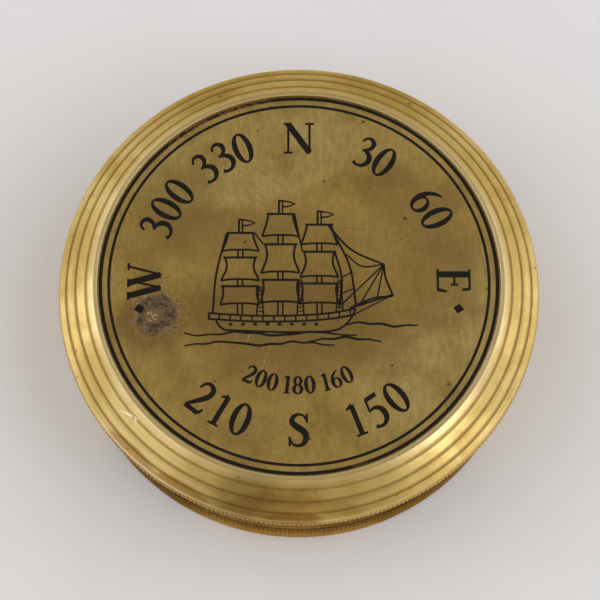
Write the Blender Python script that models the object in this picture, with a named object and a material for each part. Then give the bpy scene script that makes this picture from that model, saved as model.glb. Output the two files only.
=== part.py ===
"""Pocket compass in a turned brass case with a screw-on lid.

Sizes are in millimetres, from the face that the case stands on, and are turned into metres where a mesh is
made. +Z is up and +Y is the north side of the dial. Every coaxial piece is turned on the same number of
facets, so that neighbours with a small gap between them never touch.
"""

import math

import bmesh
import bpy

MM = 0.001
LARGE_FACETS = 48
SMALL_FACETS = 20
TOUCH = 0.05  # gap between two pieces that lie against each other

# Lid, outside
LID_RADIUS = 38.0
LID_RIM_BOTTOM = 16.3
LID_RIM_TOP = 18.0
LID_HEIGHT = 21.7
CREST_OUTER_RADIUS = 32.2
CREST_INNER_RADIUS = 31.55
RIM_CHAMFER = 0.2
GROOVE_RADII = (33.4, 35.1, 36.65)
GROOVE_HALF_WIDTH = 0.32
GROOVE_DEPTH = 0.22
# Lid, inside
PLATE_TOP = 21.4
PLATE_THICKNESS = 0.9
WEB_INNER_RADIUS = 29.6
WEB_BOTTOM = 19.9
LID_CEILING = 18.75
LINER_RADIUS = 31.3
LINER_THICKNESS = 0.5
# Thread between the lid and the neck
THREAD_PITCH = 0.6
THREAD_LINES = ((0.0, 0), (0.2, 1), (0.4, 1), (0.6, 0))  # share of a pitch, and 0 at the root or 1 at the crest
NECK_ROOT_RADIUS = 33.9
NECK_CREST_RADIUS = 34.4
NECK_THREAD_START = 16.3
NECK_THREAD_TURNS = 2
LID_CREST_RADIUS = 34.6
LID_ROOT_RADIUS = 35.1
LID_THREAD_START = NECK_THREAD_START + THREAD_PITCH / 2
LID_THREAD_TURNS = 2
# Case
CASE_RADIUS = 36.15
WAIST_RADIUS = 35.6
FOOT_RADIUS = 35.6
FOOT_CHAMFER = 0.55
GRIP_TOP = 4.8
SHOULDER_Z = 16.2
NECK_TOP = 18.2
NECK_CHAMFER = 0.25
BASE_RECESS_RADIUS = 33.0
BASE_RECESS_DEPTH = 2.0
FLOOR_BORE_RADIUS = 26.0
DIAL_SEAT_Z = 7.4
WELL_RADIUS = 31.5
GLASS_SEAT_Z = 15.0
NECK_BORE_RADIUS = 32.6
# Base plate, dial and the ring over it
BASE_PLATE_RADIUS = BASE_RECESS_RADIUS - TOUCH
BASE_PLATE_BOTTOM = 0.4
BASE_PLATE_TOP = BASE_RECESS_DEPTH - TOUCH
DIAL_RADIUS = WELL_RADIUS - 0.1
DIAL_BOTTOM = DIAL_SEAT_Z + TOUCH
DIAL_TOP = DIAL_BOTTOM + 0.6
DIAL_HOLE_RADIUS = 1.5
DIAL_RING_FOOT_RADIUS = 29.7
DIAL_RING_TOP_RADIUS = 30.8
# Dial screws
SCREW_CIRCLE_RADIUS = 27.4
SCREW_ANGLES = (30, 150, 270)
SCREW_HEAD_RADIUS = 1.1
SCREW_HEAD_HEIGHT = 0.55
SCREW_SHANK_RADIUS = 0.55
SCREW_LENGTH = 3.0
SCREW_HOLE_RADIUS = 0.65
SCREW_SLOT_WIDTH = 0.35
SCREW_SLOT_DEPTH = 0.25
# Glass, its seal and its ring
GASKET_THICKNESS = 0.5
GLASS_RADIUS = 32.45
GLASS_THICKNESS = 1.6
RETAINER_THICKNESS = 0.75
RETAINER_INNER_RADIUS = 31.3
RETAINER_GAP_DEG = 6
# Pivot
POST_FLANGE_RADIUS = 2.6
POST_FLANGE_HEIGHT = 0.7
POST_WAIST_RADIUS = 1.5
POST_TOP_RADIUS = 1.1
POST_TOP = 11.2
POST_SPIGOT_RADIUS = 1.4
POST_BOTTOM = 5.0
POST_BORE_RADIUS = 0.45
POST_BORE_BOTTOM = 9.8
NUT_ACROSS_FLATS = 5.0
NUT_HEIGHT = 1.8
PIN_RADIUS = 0.4
PIN_SHOULDER = 12.2
PIN_TIP = 13.5
PIN_TIP_RADIUS = 0.05
# Needle
NEEDLE_HALF_LENGTH = 25.0
NEEDLE_HALF_WIDTH = 3.2
NEEDLE_BOTTOM = 12.2
NEEDLE_THICKNESS = 0.3
NEEDLE_HOLE_RADIUS = 1.75
CAP_TUBE_RADIUS = 1.7
CAP_FLANGE_RADIUS = 2.5
CAP_BOTTOM = 11.95
CAP_SHOULDER = 13.6
CAP_TOP = 14.8
CAP_BORE_RADIUS = 1.0
CAP_BORE_TOP = 14.15
JEWEL_BOTTOM = 13.1
JEWEL_CUP_RADIUS = 0.5

BRASS = (0.53, 0.36, 0.12)
FINISHES = {
    "turned_brass": (BRASS, 0.32, 1.0),
    "engraved_brass": ((0.36, 0.25, 0.09), 0.42, 1.0),
    "white_enamel": ((0.83, 0.80, 0.70), 0.45, 0.0),
    "black_rubber": ((0.03, 0.03, 0.03), 0.7, 0.0),
    "clear_glass": ((0.9, 0.95, 0.93), 0.03, 0.0),
    "hard_steel": ((0.5, 0.5, 0.52), 0.25, 1.0),
    "blued_steel": ((0.02, 0.03, 0.09), 0.3, 1.0),
    "jewel_stone": ((0.45, 0.03, 0.06), 0.1, 0.0),
}


def clear_scene():
    """Removes every object that the file opened with."""
    for obj in list(bpy.data.objects):
        bpy.data.objects.remove(obj)


def make_materials():
    """One Principled material for each finish."""
    made = {}
    for name, (colour, roughness, metallic) in FINISHES.items():
        material = bpy.data.materials.new(name)
        material.use_nodes = True
        shader = material.node_tree.nodes["Principled BSDF"]
        shader.inputs["Base Color"].default_value = (*colour, 1.0)
        shader.inputs["Roughness"].default_value = roughness
        shader.inputs["Metallic"].default_value = metallic
        made[name] = material
    return made


def link(name, mesh, material):
    """Puts a mesh in the scene as a node, smooth except at its turned edges."""
    obj = bpy.data.objects.new(name, mesh)
    bpy.context.scene.collection.objects.link(obj)
    if material:
        mesh.materials.append(material)
    mesh.shade_smooth()
    mesh.set_sharp_from_angle(angle=math.radians(30))
    return obj


def finish(name, bm, material):
    """Closes a bmesh into an object with its faces pointing out."""
    bmesh.ops.remove_doubles(bm, verts=bm.verts, dist=1e-6)
    bmesh.ops.recalc_face_normals(bm, faces=bm.faces)
    mesh = bpy.data.meshes.new(name)
    bm.to_mesh(mesh)
    bm.free()
    return link(name, mesh, material)


def turned(name, profile, material, facets=LARGE_FACETS, gap_deg=0.0):
    """Spins a profile of (radius, height) points round +Z.

    A profile that starts and ends on the axis makes a solid piece, and one off the axis is closed into a ring.
    gap_deg leaves a ring open by that angle, and its two ends are filled.
    """
    bm = bmesh.new()
    half_gap = math.radians(gap_deg) / 2
    start_x, start_y = math.cos(half_gap), math.sin(half_gap)
    points = [bm.verts.new((r * start_x * MM, r * start_y * MM, z * MM)) for r, z in profile]
    edges = [bm.edges.new(pair) for pair in zip(points, points[1:])]
    if profile[0][0] > 0:
        edges.append(bm.edges.new((points[-1], points[0])))
    spun = bmesh.ops.spin(
        bm,
        geom=points + edges,
        cent=(0, 0, 0),
        axis=(0, 0, 1),
        angle=2 * math.pi - 2 * half_gap,
        steps=facets,
        use_merge=gap_deg == 0,
        use_duplicate=False,
    )
    if gap_deg:
        bm.faces.new(points)
        bm.faces.new([part for part in spun["geom_last"] if isinstance(part, bmesh.types.BMVert)])
    return finish(name, bm, material)


def ring_of(bm, radius, height, facets=LARGE_FACETS):
    """A circle of vertices at one radius and height."""
    turns = [2 * math.pi * i / facets for i in range(facets)]
    return [bm.verts.new((radius * math.cos(a) * MM, radius * math.sin(a) * MM, height * MM)) for a in turns]


def skin(bm, low, high):
    """Quads between two circles of vertices."""
    for i, vert in enumerate(low):
        following = (i + 1) % len(low)
        bm.faces.new((vert, low[following], high[following], high[i]))


def thread_wall(bm, low, high, start, turns, root, crest):
    """Fills the wall between two circles with a helical ridge.

    The ridge is a strip of lines that climb one pitch a turn. Each line of a turn meets the first line of the
    next turn, and the ridge ends in a flat face at each end.
    """
    facets = len(low)
    steps = turns * facets
    radii = (root, crest)

    def line(share, level):
        angles = [2 * math.pi * u / facets for u in range(steps + 1)]
        radius = radii[level]
        heights = [start + THREAD_PITCH * (u / facets + share) for u in range(steps + 1)]
        return [
            bm.verts.new((radius * math.cos(a) * MM, radius * math.sin(a) * MM, z * MM))
            for a, z in zip(angles, heights)
        ]

    lines = [line(share, level) for share, level in THREAD_LINES]
    first, last = lines[0], lines[-1]
    for lower, upper in zip(lines, lines[1:]):
        for u in range(steps):
            bm.faces.new((lower[u], lower[u + 1], upper[u + 1], upper[u]))
    for u in range(steps - facets):
        bm.faces.new((last[u], last[u + 1], first[u + 1 + facets], first[u + facets]))
    for i in range(facets - 1):
        bm.faces.new((low[i], low[i + 1], first[i + 1], first[i]))
        u = steps - facets + i + 1
        bm.faces.new((last[u], last[u + 1], high[(u + 1) % facets], high[u % facets]))
    bm.faces.new((low[-1], low[0], first[0], last[0], first[facets], first[facets - 1]))
    u = steps - facets
    bm.faces.new((last[u], last[u + 1], high[1], high[0], last[steps], first[steps]))
    for end in (0, steps):
        bm.faces.new([strip[end] for strip in lines])


def threaded(name, profile, thread_at, thread, material):
    """A turned ring whose wall between profile points thread_at and thread_at + 1 carries a thread.

    The profile runs upwards over the threaded wall.
    """
    bm = bmesh.new()
    rings = [ring_of(bm, r, z) for r, z in profile]
    for i, low in enumerate(rings):
        high = rings[(i + 1) % len(rings)]
        if i == thread_at:
            thread_wall(bm, low, high, **thread)
        else:
            skin(bm, low, high)
    return finish(name, bm, material)


def pierced_plate(name, outline, hole_radius, bottom, top, material, facets=24):
    """A flat plate with a round hole, from an outline given as a function of the angle."""
    bm = bmesh.new()
    angles = [2 * math.pi * i / facets for i in range(facets)]

    def loop(radius_at, height):
        return [
            bm.verts.new((radius_at(a) * math.cos(a) * MM, radius_at(a) * math.sin(a) * MM, height * MM))
            for a in angles
        ]

    loops = [loop(outline, bottom), loop(outline, top)]
    loops += [loop(lambda a: hole_radius, top), loop(lambda a: hole_radius, bottom)]
    for low, high in zip(loops, loops[1:] + loops[:1]):
        skin(bm, low, high)
    return finish(name, bm, material)


def cutter(name, mesh_maker, parent_location=(0, 0, 0)):
    """A helper that only cuts: hidden in a render and drawn as wires."""
    obj = mesh_maker(name)
    obj.location = parent_location
    obj.hide_render = True
    obj.display_type = "WIRE"
    return obj


def cut(target, tool):
    """Cuts a tool's shape out of a piece."""
    modifier = target.modifiers.new(f"cut_{tool.name}", "BOOLEAN")
    modifier.operation = "DIFFERENCE"
    modifier.object = tool


def rod_maker(radius, bottom, top):
    """Makes a plain rod, for a hole's cutter."""
    return lambda name: turned(name, [(0, top), (radius, top), (radius, bottom), (0, bottom)], None, SMALL_FACETS)


def box_maker(width, depth, height):
    """Makes a plain box centred on its own origin, for a slot's cutter."""

    def make(name):
        bm = bmesh.new()
        bmesh.ops.create_cube(bm, size=1.0)
        bmesh.ops.scale(bm, vec=(width * MM, depth * MM, height * MM), verts=bm.verts)
        return finish(name, bm, None)

    return make


def on_screw_circle(angle_deg):
    """The place of a dial screw, in metres."""
    a = math.radians(angle_deg)
    return (SCREW_CIRCLE_RADIUS * math.cos(a) * MM, SCREW_CIRCLE_RADIUS * math.sin(a) * MM)


def bevel_height(radius):
    """The height of the lid's sloping face at a radius."""
    share = (LID_RADIUS - radius) / (LID_RADIUS - CREST_OUTER_RADIUS)
    return LID_RIM_TOP + share * (LID_HEIGHT - LID_RIM_TOP)


def make_case(materials):
    """The turned ring of the case, its base plate, and the screw holes under the dial."""
    thread = {
        "start": NECK_THREAD_START,
        "turns": NECK_THREAD_TURNS,
        "root": NECK_ROOT_RADIUS,
        "crest": NECK_CREST_RADIUS,
    }
    profile = [
        (BASE_RECESS_RADIUS, 0.0),
        (FOOT_RADIUS, 0.0),
        (CASE_RADIUS, FOOT_CHAMFER),
        (CASE_RADIUS, GRIP_TOP),
        (WAIST_RADIUS, GRIP_TOP + CASE_RADIUS - WAIST_RADIUS),
        (WAIST_RADIUS, SHOULDER_Z),
        (NECK_ROOT_RADIUS, SHOULDER_Z),
        (NECK_ROOT_RADIUS, NECK_TOP - NECK_CHAMFER),
        (NECK_ROOT_RADIUS - NECK_CHAMFER, NECK_TOP),
        (NECK_BORE_RADIUS, NECK_TOP),
        (NECK_BORE_RADIUS, GLASS_SEAT_Z),
        (WELL_RADIUS, GLASS_SEAT_Z),
        (WELL_RADIUS, DIAL_SEAT_Z),
        (FLOOR_BORE_RADIUS, DIAL_SEAT_Z),
        (FLOOR_BORE_RADIUS, BASE_RECESS_DEPTH),
        (BASE_RECESS_RADIUS, BASE_RECESS_DEPTH),
    ]
    case = threaded("case_body", profile, 6, thread, materials["turned_brass"])
    for angle in SCREW_ANGLES:
        x, y = on_screw_circle(angle)
        hole = cutter(
            f"case_hole_{angle}",
            rod_maker(SCREW_HOLE_RADIUS, DIAL_BOTTOM - SCREW_LENGTH, DIAL_SEAT_Z + 1),
            (x, y, 0),
        )
        cut(case, hole)
    turned(
        "base_plate",
        [
            (0, BASE_PLATE_TOP),
            (BASE_PLATE_RADIUS, BASE_PLATE_TOP),
            (BASE_PLATE_RADIUS, BASE_PLATE_BOTTOM),
            (0, BASE_PLATE_BOTTOM),
        ],
        materials["engraved_brass"],
    )


def make_dial(materials):
    """The dial, its three slotted screws, and the sloping ring that stands on it."""
    dial = turned(
        "dial_plate",
        [
            (DIAL_HOLE_RADIUS, DIAL_TOP),
            (DIAL_RADIUS, DIAL_TOP),
            (DIAL_RADIUS, DIAL_BOTTOM),
            (DIAL_HOLE_RADIUS, DIAL_BOTTOM),
        ],
        materials["white_enamel"],
    )
    head_bottom = DIAL_TOP + TOUCH
    head_top = head_bottom + SCREW_HEAD_HEIGHT
    for number, angle in enumerate(SCREW_ANGLES, 1):
        x, y = on_screw_circle(angle)
        hole = cutter(f"dial_hole_{angle}", rod_maker(SCREW_HOLE_RADIUS, DIAL_BOTTOM - 1, DIAL_TOP + 1), (x, y, 0))
        cut(dial, hole)
        screw = turned(
            f"dial_screw_{number}",
            [
                (0, head_top),
                (SCREW_HEAD_RADIUS - 0.2, head_top),
                (SCREW_HEAD_RADIUS, head_bottom + 0.2),
                (SCREW_HEAD_RADIUS, head_bottom),
                (SCREW_SHANK_RADIUS, head_bottom),
                (SCREW_SHANK_RADIUS, head_bottom - SCREW_LENGTH),
                (0, head_bottom - SCREW_LENGTH),
            ],
            materials["turned_brass"],
            SMALL_FACETS,
        )
        screw.location = (x, y, 0)
        slot = cutter(
            f"screw_slot_{number}",
            box_maker(2 * SCREW_HEAD_RADIUS + 1, SCREW_SLOT_WIDTH, 2 * SCREW_SLOT_DEPTH),
            (x, y, head_top * MM),
        )
        slot.rotation_euler[2] = math.radians(angle + 40 * number)
        cut(screw, slot)
    turned(
        "dial_ring",
        [
            (DIAL_RING_TOP_RADIUS, GLASS_SEAT_Z - TOUCH),
            (DIAL_RADIUS, GLASS_SEAT_Z - TOUCH),
            (DIAL_RADIUS, DIAL_TOP + TOUCH),
            (DIAL_RING_FOOT_RADIUS, DIAL_TOP + TOUCH),
        ],
        materials["turned_brass"],
    )


def make_glazing(materials):
    """The seal under the glass, the glass, and the split ring that holds it down."""
    gasket_bottom = GLASS_SEAT_Z + TOUCH
    glass_bottom = gasket_bottom + GASKET_THICKNESS + TOUCH
    ring_bottom = glass_bottom + GLASS_THICKNESS + TOUCH

    def flat_ring(inner, outer, bottom, thickness):
        top = bottom + thickness
        return [(inner, top), (outer, top), (outer, bottom), (inner, bottom)]

    turned(
        "glass_gasket",
        flat_ring(WELL_RADIUS + 0.1, GLASS_RADIUS, gasket_bottom, GASKET_THICKNESS),
        materials["black_rubber"],
    )
    edge = 0.25
    glass_top = glass_bottom + GLASS_THICKNESS
    turned(
        "glass",
        [
            (0, glass_top),
            (GLASS_RADIUS - edge, glass_top),
            (GLASS_RADIUS, glass_top - edge),
            (GLASS_RADIUS, glass_bottom),
            (0, glass_bottom),
        ],
        materials["clear_glass"],
    )
    turned(
        "glass_retaining_ring",
        flat_ring(RETAINER_INNER_RADIUS, GLASS_RADIUS, ring_bottom, RETAINER_THICKNESS),
        materials["turned_brass"],
        gap_deg=RETAINER_GAP_DEG,
    )


def make_pivot(materials):
    """The post through the dial, its nut, and the steel pin that the needle turns on."""
    flange_bottom = DIAL_TOP + TOUCH
    turned(
        "pivot_post",
        [
            (0, POST_BORE_BOTTOM),
            (POST_BORE_RADIUS, POST_BORE_BOTTOM),
            (POST_BORE_RADIUS, POST_TOP),
            (POST_TOP_RADIUS, POST_TOP),
            (POST_WAIST_RADIUS, flange_bottom + POST_FLANGE_HEIGHT),
            (POST_FLANGE_RADIUS, flange_bottom + POST_FLANGE_HEIGHT),
            (POST_FLANGE_RADIUS, flange_bottom),
            (POST_SPIGOT_RADIUS, flange_bottom),
            (POST_SPIGOT_RADIUS, POST_BOTTOM),
            (0, POST_BOTTOM),
        ],
        materials["turned_brass"],
        SMALL_FACETS,
    )
    nut_top = DIAL_BOTTOM - TOUCH

    def hexagon(angle):
        sixth = math.pi / 3
        return NUT_ACROSS_FLATS / 2 / math.cos((angle + sixth / 2) % sixth - sixth / 2)

    pierced_plate(
        "post_nut",
        hexagon,
        POST_SPIGOT_RADIUS + TOUCH,
        nut_top - NUT_HEIGHT,
        nut_top,
        materials["turned_brass"],
    )
    turned(
        "pivot_pin",
        [
            (0, PIN_TIP),
            (PIN_TIP_RADIUS, PIN_TIP),
            (PIN_RADIUS, PIN_SHOULDER),
            (PIN_RADIUS, POST_BORE_BOTTOM + TOUCH),
            (0, POST_BORE_BOTTOM + TOUCH),
        ],
        materials["hard_steel"],
        SMALL_FACETS,
    )


def make_needle(materials):
    """The magnetised blade, the cap riveted through it, and the jewel that rides on the pin.

    They hang from an empty at the tip of the pin, on the axis that the needle turns about.
    """
    needle_axis = bpy.data.objects.new("needle_axis", None)
    bpy.context.scene.collection.objects.link(needle_axis)
    needle_axis.location = (0, 0, PIN_TIP * MM)

    def lozenge(angle):
        return 1 / (abs(math.cos(angle)) / NEEDLE_HALF_WIDTH + abs(math.sin(angle)) / NEEDLE_HALF_LENGTH)

    blade_top = NEEDLE_BOTTOM + NEEDLE_THICKNESS
    blade = pierced_plate(
        "needle_blade", lozenge, NEEDLE_HOLE_RADIUS, NEEDLE_BOTTOM, blade_top, materials["blued_steel"]
    )
    cap = turned(
        "needle_cap",
        [
            (0, CAP_TOP),
            (CAP_BORE_RADIUS, CAP_TOP),
            (CAP_TUBE_RADIUS, CAP_SHOULDER),
            (CAP_FLANGE_RADIUS, blade_top + 0.5),
            (CAP_FLANGE_RADIUS, blade_top + TOUCH),
            (CAP_TUBE_RADIUS, blade_top + TOUCH),
            (CAP_TUBE_RADIUS, CAP_BOTTOM),
            (CAP_BORE_RADIUS, CAP_BOTTOM),
            (CAP_BORE_RADIUS, CAP_BORE_TOP),
            (0, CAP_BORE_TOP),
        ],
        materials["turned_brass"],
        SMALL_FACETS,
    )
    jewel_radius = CAP_BORE_RADIUS - TOUCH
    jewel = turned(
        "needle_jewel",
        [
            (0, CAP_BORE_TOP - TOUCH),
            (jewel_radius, CAP_BORE_TOP - TOUCH),
            (jewel_radius, JEWEL_BOTTOM),
            (JEWEL_CUP_RADIUS, JEWEL_BOTTOM),
            (0, PIN_TIP + TOUCH),
        ],
        materials["jewel_stone"],
        SMALL_FACETS,
    )
    for piece in (blade, cap, jewel):
        piece.parent = needle_axis
        piece.location = (0, 0, -PIN_TIP * MM)


def make_lid(materials):
    """The turned lid ring with its grooved bevel and thread, the engraved plate, the liner and the seal."""
    bevel = [(LID_RADIUS, LID_RIM_TOP)]
    for radius in reversed(GROOVE_RADII):
        bevel += [
            (radius + GROOVE_HALF_WIDTH, bevel_height(radius + GROOVE_HALF_WIDTH)),
            (radius, bevel_height(radius) - GROOVE_DEPTH),
            (radius - GROOVE_HALF_WIDTH, bevel_height(radius - GROOVE_HALF_WIDTH)),
        ]
    plate_bottom = PLATE_TOP - PLATE_THICKNESS
    seat = plate_bottom - TOUCH
    thread_foot = LID_RIM_BOTTOM + RIM_CHAMFER
    profile = [
        (LID_ROOT_RADIUS, thread_foot),
        (LID_ROOT_RADIUS, LID_CEILING),
        (CREST_INNER_RADIUS, LID_CEILING),
        (CREST_INNER_RADIUS, WEB_BOTTOM),
        (WEB_INNER_RADIUS, WEB_BOTTOM),
        (WEB_INNER_RADIUS, seat),
        (CREST_INNER_RADIUS, seat),
        (CREST_INNER_RADIUS, LID_HEIGHT),
        (CREST_OUTER_RADIUS, LID_HEIGHT),
        *reversed(bevel),
        (LID_RADIUS, LID_RIM_BOTTOM + RIM_CHAMFER),
        (LID_RADIUS - RIM_CHAMFER, LID_RIM_BOTTOM),
        (LID_ROOT_RADIUS + RIM_CHAMFER, LID_RIM_BOTTOM),
    ]
    thread = {
        "start": LID_THREAD_START,
        "turns": LID_THREAD_TURNS,
        "root": LID_ROOT_RADIUS,
        "crest": LID_CREST_RADIUS,
    }
    threaded("lid_ring", profile, 0, thread, materials["turned_brass"])
    disc_radius = CREST_INNER_RADIUS - TOUCH
    turned(
        "lid_plate",
        [(0, PLATE_TOP), (disc_radius, PLATE_TOP), (disc_radius, plate_bottom), (0, plate_bottom)],
        materials["engraved_brass"],
    )
    liner_top = WEB_BOTTOM - TOUCH
    liner_bottom = liner_top - LINER_THICKNESS
    turned(
        "lid_liner",
        [(0, liner_top), (LINER_RADIUS, liner_top), (LINER_RADIUS, liner_bottom), (0, liner_bottom)],
        materials["engraved_brass"],
    )
    seal_top = LID_CEILING - TOUCH
    seal_bottom = NECK_TOP + TOUCH
    seal_inner = NECK_BORE_RADIUS + 0.1
    seal_outer = NECK_ROOT_RADIUS + 0.3
    turned(
        "lid_seal",
        [(seal_inner, seal_top), (seal_outer, seal_top), (seal_outer, seal_bottom), (seal_inner, seal_bottom)],
        materials["black_rubber"],
    )


def main():
    """Builds the whole compass, closed and at rest."""
    clear_scene()
    materials = make_materials()
    make_case(materials)
    make_dial(materials)
    make_glazing(materials)
    make_pivot(materials)
    make_needle(materials)
    make_lid(materials)


main()
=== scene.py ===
"""Looks of an aged brass pocket compass with a screw-on lid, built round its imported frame.

Lengths are in millimetres until a mesh is made, and angles are in degrees anticlockwise from +X, seen from
above. Heights and outer radii are read from the frame's nodes.
"""

import logging
import math
from collections.abc import Callable, Sequence
from dataclasses import dataclass, field
from enum import Enum

import bmesh
import bpy
import numpy as np
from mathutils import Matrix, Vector


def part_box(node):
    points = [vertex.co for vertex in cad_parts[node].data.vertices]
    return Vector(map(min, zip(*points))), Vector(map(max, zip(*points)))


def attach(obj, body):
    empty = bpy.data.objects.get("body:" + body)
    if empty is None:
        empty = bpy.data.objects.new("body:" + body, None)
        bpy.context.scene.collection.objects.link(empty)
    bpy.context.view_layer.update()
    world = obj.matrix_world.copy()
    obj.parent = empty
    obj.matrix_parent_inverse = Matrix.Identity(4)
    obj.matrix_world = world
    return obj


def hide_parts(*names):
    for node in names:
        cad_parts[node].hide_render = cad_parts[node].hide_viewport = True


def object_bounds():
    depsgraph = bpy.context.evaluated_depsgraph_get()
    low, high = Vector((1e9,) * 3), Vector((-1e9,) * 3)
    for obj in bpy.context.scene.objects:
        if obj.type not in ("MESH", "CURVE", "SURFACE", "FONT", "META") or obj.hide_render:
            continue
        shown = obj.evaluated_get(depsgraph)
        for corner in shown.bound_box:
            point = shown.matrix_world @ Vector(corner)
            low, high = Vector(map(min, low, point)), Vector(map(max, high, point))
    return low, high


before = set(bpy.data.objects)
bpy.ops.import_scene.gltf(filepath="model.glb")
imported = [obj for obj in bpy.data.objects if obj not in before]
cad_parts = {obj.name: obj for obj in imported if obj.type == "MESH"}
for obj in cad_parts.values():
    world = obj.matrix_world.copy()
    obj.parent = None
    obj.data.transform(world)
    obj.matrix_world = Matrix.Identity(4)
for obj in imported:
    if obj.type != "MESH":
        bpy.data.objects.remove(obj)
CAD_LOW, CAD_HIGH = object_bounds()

MM = 0.001
MIDDLE_HOLE = 0.2  # radius at which a turned disc stops, where one small face fills it
Array = np.ndarray
Colour = tuple[float, float, float]
Corner = tuple[float, float, float]
Socket = bpy.types.NodeSocket
log = logging.getLogger("compass")


class Slot(Enum):
    """The record's material slots."""

    TURNED_BRASS = "turned_brass"
    ENGRAVED_BRASS = "engraved_brass"
    ENAMEL = "white_enamel"
    RUBBER = "black_rubber"
    GLASS = "clear_glass"
    STEEL = "hard_steel"
    BLUED = "blued_steel"
    JEWEL = "jewel_stone"


class Body(Enum):
    """The frame's moving bodies."""

    CASE = "case"
    NEEDLE = "needle"
    SEAL = "lid_seal_ring"
    LINER = "lid_liner_disc"
    LID = "lid"


class Reading(Enum):
    """Which way up a mark on a round scale stands."""

    OUTWARDS = 1
    INWARDS = -1


@dataclass(frozen=True)
class NodeBox:
    """Outer radius, bottom and top of a round CAD node."""

    radius: float
    bottom: float
    top: float

    @classmethod
    def of(cls, node: str) -> "NodeBox":
        """Reads the box of one node of the frame."""
        low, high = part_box(node)
        return cls(high.x / MM, low.z / MM, high.z / MM)


def boxed(node: str) -> NodeBox:
    """A dataclass field that holds the box of one node."""
    return field(default_factory=lambda: NodeBox.of(node))


# ------------------------------------------------------------------------
# Shader graphs
# ------------------------------------------------------------------------


class Graph:
    """A short way to write a node tree: each method adds one node and gives back its output."""

    def __init__(self, tree: bpy.types.NodeTree) -> None:
        """Starts to write into a tree."""
        self.tree = tree

    def add(
        self, kind: str, inputs: dict[str | int, object], output: str | int = 0, **settings: object
    ) -> Socket:
        """Adds a node, sets or links its inputs, and picks an output.

        Args:
            kind: the node's type, without its "ShaderNode" start.
            inputs: input name or number to a constant or to another node's output.
            output: name or number of the output that is given back.
            **settings: the node's own properties.

        Returns:
            The chosen output.
        """
        node = self.tree.nodes.new("ShaderNode" + kind)
        for name, value in settings.items():
            setattr(node, name, value)
        for name, value in inputs.items():
            if isinstance(value, bpy.types.NodeSocket):
                self.tree.links.new(value, node.inputs[name])
            else:
                node.inputs[name].default_value = value
        return node.outputs[output]

    def maths(self, operation: str, first: object, second: object = 0.0, clamp: bool = False) -> Socket:
        """One Math node on two values."""
        return self.add("Math", {0: first, 1: second}, operation=operation, use_clamp=clamp)

    def times(self, first: object, second: object, clamp: bool = False) -> Socket:
        """The product of two values."""
        return self.maths("MULTIPLY", first, second, clamp)

    def rest(self, value: object) -> Socket:
        """What is left of 1 after a value."""
        return self.maths("SUBTRACT", 1.0, value)

    def vector(
        self, operation: str, first: object, second: object = (0.0, 0.0, 0.0), output: int = 0
    ) -> Socket:
        """One Vector Math node on two vectors."""
        return self.add("VectorMath", {0: first, 1: second}, output, operation=operation)

    def ramp(
        self, value: object, low: object, high: object, start: object = 0.0, end: object = 1.0
    ) -> Socket:
        """A smooth step from start to end as a value goes from low to high."""
        spans = {"Value": value, "From Min": low, "From Max": high, "To Min": start, "To Max": end}
        return self.add("MapRange", spans, interpolation_type="SMOOTHSTEP")

    def noise(
        self, place: object, scale: object, detail: float = 3.0, rough: float = 0.55, output: int = 0
    ) -> Socket:
        """Fractal noise at a place; output 1 is its colour, which serves as a random vector."""
        sockets = {"Vector": place, "Scale": scale, "Detail": detail, "Roughness": rough}
        return self.add("TexNoise", sockets, output)

    def mix(self, share: object, first: object, second: object) -> Socket:
        """A blend of two colours."""
        pair = [(*c, 1.0) if isinstance(c, tuple) else c for c in (first, second)]
        return self.add("Mix", {0: share, 6: pair[0], 7: pair[1]}, 2, data_type="RGBA")

    def attribute(self, name: str) -> Socket:
        """A value that the mesh carries at its points."""
        return self.add("Attribute", {}, "Fac", attribute_name=name)

    def place(self) -> Socket:
        """The object's own coordinates, in millimetres."""
        where = self.add("TexCoord", {}, "Object")
        return self.add("Mapping", {"Vector": where, "Scale": (1 / MM, 1 / MM, 1 / MM)})

    def bump(self, height: object, depth: float, normal: object = None, strength: float = 1.0) -> Socket:
        """A normal bent by a height from 0 to 1, which stands for a depth in millimetres."""
        sockets: dict[str | int, object] = {"Height": height, "Distance": depth * MM, "Strength": strength}
        if normal is not None:
            sockets["Normal"] = normal
        return self.add("Bump", sockets)


@dataclass(frozen=True)
class Effect:
    """A shader group that several finishes share."""

    name: str
    inputs: tuple[tuple[str, str], ...]
    outputs: tuple[str, ...]
    write: Callable[[Graph, dict[str, Socket]], dict[str, Socket]]

    def group(self) -> bpy.types.NodeTree:
        """Builds the group the first time, and finds it again after that."""
        known = bpy.data.node_groups.get(self.name)
        if known:
            return known
        tree = bpy.data.node_groups.new(self.name, "ShaderNodeTree")
        for label, kind in self.inputs:
            tree.interface.new_socket(name=label, in_out="INPUT", socket_type="NodeSocket" + kind)
        for label in self.outputs:
            tree.interface.new_socket(name=label, in_out="OUTPUT", socket_type="NodeSocketFloat")
        given = tree.nodes.new("NodeGroupInput")
        made = self.write(Graph(tree), {label: given.outputs[label] for label, _ in self.inputs})
        results = tree.nodes.new("NodeGroupOutput")
        for label, socket in made.items():
            tree.links.new(socket, results.inputs[label])
        return tree

    def use(self, graph: Graph, output: str, **values: object) -> Socket:
        """Places the group in a material.

        Args:
            graph: the material's graph.
            output: name of the output that is given back.
            **values: input names, in lower case with underscores, to constants or outputs.

        Returns:
            The chosen output.
        """
        node = graph.tree.nodes.new("ShaderNodeGroup")
        node.node_tree = self.group()
        for name, value in values.items():
            socket = node.inputs[name.replace("_", " ").capitalize()]
            if isinstance(value, bpy.types.NodeSocket):
                graph.tree.links.new(value, socket)
            else:
                socket.default_value = value
        return node.outputs[output]


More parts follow.
